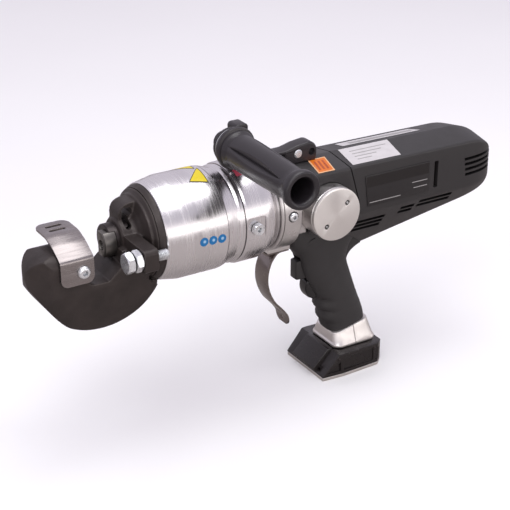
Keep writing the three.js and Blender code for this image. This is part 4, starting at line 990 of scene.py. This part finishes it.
def foot():
    shell = prism("foot_shell_look", "z", foot_outline(0), FOOT_PLATE + 0.3, FOOT_TOP)
    side_view = [(31, -196.2), (31, -195), (50, FOOT_TOP), (107, FOOT_TOP), (107, -196.2)]
    meet(shell, prism("side", "y", side_view, -60, 60))
    bevel(shell, 1.2, 3)
    ramp = [(32, -196), (28, -190.5), (46, FOOT_TOP + 1.2), (52, FOOT_TOP + 1.2), (52, -196)]
    join(shell, bevel(prism("ramp", "y", ramp, -20, 20), 1, 3))
    sides = (-1, 1)
    panels = [prism("panel", "y", rounded(x0, x1, -192.5, -178, 1.5), *on_side(side, 40, 33))
              for side in sides for x0, x1 in ((55.5, 94), (96.5, 101))]
    wedge = [(36, -192.5), (52, -192.5), (52, -182)]
    panels += [prism("panel", "y", wedge, *on_side(side, 40, 33.4)) for side in sides]
    ledge = [(28, -200), (34, -191.5), (52, -175), (54, -179), (40, -196)]
    ledges = [prism("ledge", "y", ledge, *on_side(side, 20, 23.5)) for side in sides]
    cut(shell, *panels, *ledges)
    finish_piece(bevel(shell, 0.4, 2, 35), FOOT_PLASTIC, nodes=["foot_shell"], angle=30)
    plate = bevel(prism("foot_plate_look", "z", foot_outline(0.2), FOOT_BOTTOM, FOOT_PLATE), 0.5, 3)
    finish_piece(plate, SATIN, "tool", ["foot_plate"])
    foot_side_screws()


def foot_side_screws():
    """Two small dark screw heads on each side wall."""
    for i, (x, z, wall) in enumerate(((50, -179, 35.6), (95, -177.5, 34.2))):
        for side, hand in ((-1, "left"), (1, "right")):
            dome = [(-1, 0), (-1, 1.8), (0.3, 1.6), (0.6, 0.9), (0.6, 0)]
            profile = [(side * (wall + out), r) for out, r in dome]
            head = turned(f"foot_side_screw_{i + 1}_{hand}", "y", profile, (x, z), 32)
            finish_piece(head, BLACKED, "tool")


# ---- Trigger guard strap ----
def trigger_guard():
    path = with_bends([
        (1, -51.4), (-8, -51.4), (-12, -53), (-18, -60), (-22, -71), (-22.8, -83), (-20, -95), (-14, -107),
        (-6.5, -115), (-1.5, -121), (2.2, -126.5), (3.8, -137)], 6, 6)
    ribbon = bent_strip("trigger_guard_look", "y", path, 2.2, -11, 11)
    meet(ribbon, prism("front", "x", rounded(-11, 11, -138.5, -40, 9), -60, 60))
    join(ribbon, block("plate", -24, 2, -11, 11, -52.5, -50.3))
    cut(ribbon, rod("screw_hole", "z", 2.8, -54, -49, STRAP_SCREW),
        rod("tip_hole", "x", 1.8, -2, 10, (0, -131), 32))
    finish_piece(bevel(ribbon, 0.6, 3, 50), STRAP, "tool", ["trigger_guard"], 25)


# ---- Surfaces of the CAD pieces that are shown as they are ----
def dress_cad_nodes():
    slots = {part["node"]: part["material_slot"] for part in frame["record"]["subparts"]}
    surfaces = {
        "forged_steel": FORGED, "turned_aluminium": TURNED, "cast_aluminium": CAST,
        "satin_aluminium": SATIN, "stainless": STAINLESS, "zinc_steel": ZINC,
        "tool_steel": TOOL_STEEL, "motor_iron": TOOL_STEEL,
        "black_plastic": PLASTIC, "gloss_plastic": GLOSS, "seal_rubber": RUBBER, "board": DARK}
    for name, obj in frame["nodes"].items():
        obj.data.materials.clear()
        obj.data.materials.append(surfaces[slots[name]])


# ---- Studio ----
def floor_surface():
    """White to the eye, and a warmer mid grey where the tool catches its light."""
    pale = Surface("floor", (0.93, 0.93, 0.93), 0.9, 0.0).mottle(2, 0.01)
    pale.shader.inputs["Specular IOR Level"].default_value = 0
    dim = pale.node("ShaderNodeBsdfDiffuse")
    dim.inputs["Color"].default_value = (0.42, 0.39, 0.37, 1)
    mix = pale.node("ShaderNodeMixShader")
    pale.link(pale.node("ShaderNodeLightPath").outputs["Is Camera Ray"], mix.inputs["Fac"])
    pale.link(dim.outputs["BSDF"], mix.inputs[1])
    pale.link(pale.shader.outputs["BSDF"], mix.inputs[2])
    pale.link(mix.outputs["Shader"], pale.tree.nodes["Material Output"].inputs["Surface"])
    return pale.material


ROOM, STRIP, SHADE = (0.66, 0.62, 0.7), (2.3, 2.2, 2.15), (0.56, 0.53, 0.6)
BANDS = ((0, ROOM), (0.01, STRIP), (0.07, STRIP), (0.13, ROOM), (0.2, SHADE), (0.4, ROOM))
BRIGHTEST = 3.0  # the ramp holds shares of this light


def soft_boxes(tree):
    """Light and dark bands of sky, from the front horizon (0) over the top to the back one (1)."""
    def math_node(operation, first, second):
        node = tree.nodes.new("ShaderNodeMath")
        node.operation = operation
        tree.links.new(first, node.inputs[0])
        if isinstance(second, (int, float)):
            node.inputs[1].default_value = second
        else:
            tree.links.new(second, node.inputs[1])
        return node.outputs["Value"]

    where = tree.nodes.new("ShaderNodeTexCoord")
    parts = tree.nodes.new("ShaderNodeSeparateXYZ")
    tree.links.new(where.outputs["Generated"], parts.inputs["Vector"])
    front = math_node("MULTIPLY", parts.outputs["Y"], -1)
    turn = math_node("ARCTAN2", parts.outputs["Z"], front)
    shade = tree.nodes.new("ShaderNodeValToRGB")
    tree.links.new(math_node("DIVIDE", turn, math.pi), shade.inputs["Fac"])
    elements = shade.color_ramp.elements
    while len(elements) < len(BANDS):
        elements.new(1)
    for element, (spot, colour) in zip(elements, BANDS):
        element.position = spot
        element.color = (*(level / BRIGHTEST for level in colour), 1)
    background = tree.nodes["Background"]
    background.inputs["Strength"].default_value = BRIGHTEST
    tree.links.new(shade.outputs["Color"], background.inputs["Color"])


def studio_floor():
    half = 6
    corners = [(-half, -half, 0), (half, -half, 0), (half, half, 0), (-half, half, 0)]
    mesh = bpy.data.meshes.new("floor")
    mesh.from_pydata(corners, [], [(0, 1, 2, 3)])
    mesh.materials.append(floor_surface())
    add_object("floor", mesh)


def area_light(name, spot, size, power):
    """A square lamp that faces the middle of the tool."""
    lamp = bpy.data.lights.new(name, "AREA")
    lamp.size = size
    lamp.energy = power
    obj = add_object(name, lamp)
    obj.location = spot
    obj.rotation_euler = (Vector((0, 0, 0.15)) - Vector(spot)).to_track_quat("-Z", "Y").to_euler()


def studio():
    studio_floor()
    world = bpy.data.worlds.new("studio")
    world.use_nodes = True
    soft_boxes(world.node_tree)
    bpy.context.scene.world = world
    bpy.context.scene.view_settings.view_transform = "Standard"
    area_light("key", (-0.9, -0.9, 1.6), 0.9, 9)
    area_light("top", (0.1, -0.1, 1.7), 1.2, 13)


def camera():
    """The photograph's viewpoint: from the front left, a little above."""
    turn, rise = math.radians(-31.4), math.radians(25.39)
    back = Vector((math.sin(turn) * math.cos(rise), -math.cos(turn) * math.cos(rise), math.sin(rise)))
    lens = bpy.data.cameras.new("photo_view")
    lens.lens = 98.8
    lens.sensor_width = 36
    lens.shift_x, lens.shift_y = 0.0043, 0.0012
    obj = add_object("photo_view", lens)
    obj.location = place(-680, -1060.3, 535.5)
    obj.rotation_euler = back.to_track_quat("Z", "Y").to_euler()
    bpy.context.scene.camera = obj


dress_cad_nodes()
cutter_head()
moving_cutter()
ram()
return_spring()
cutter_guard()
button_screw("guard_screw_look", "y", -32.4, -28.7, -14, 6.2, GUARD_SCREW, "guard_screw")
stopper()
cylinder()
cylinder_prints()
release_valve()
pump_case()
button_screw("flange_screw_look", "y", -49.2, -46.9, -40, 4.4, SIDE_SCREW, "flange_screw_left")
reservoir_cap()
side_handle()
handle_bracket()
front_cover()
motor_housing()
housing_prints()
nameplate()
grip()
trigger()
lower_trigger()
collar()
foot()
trigger_guard()
studio()
camera()
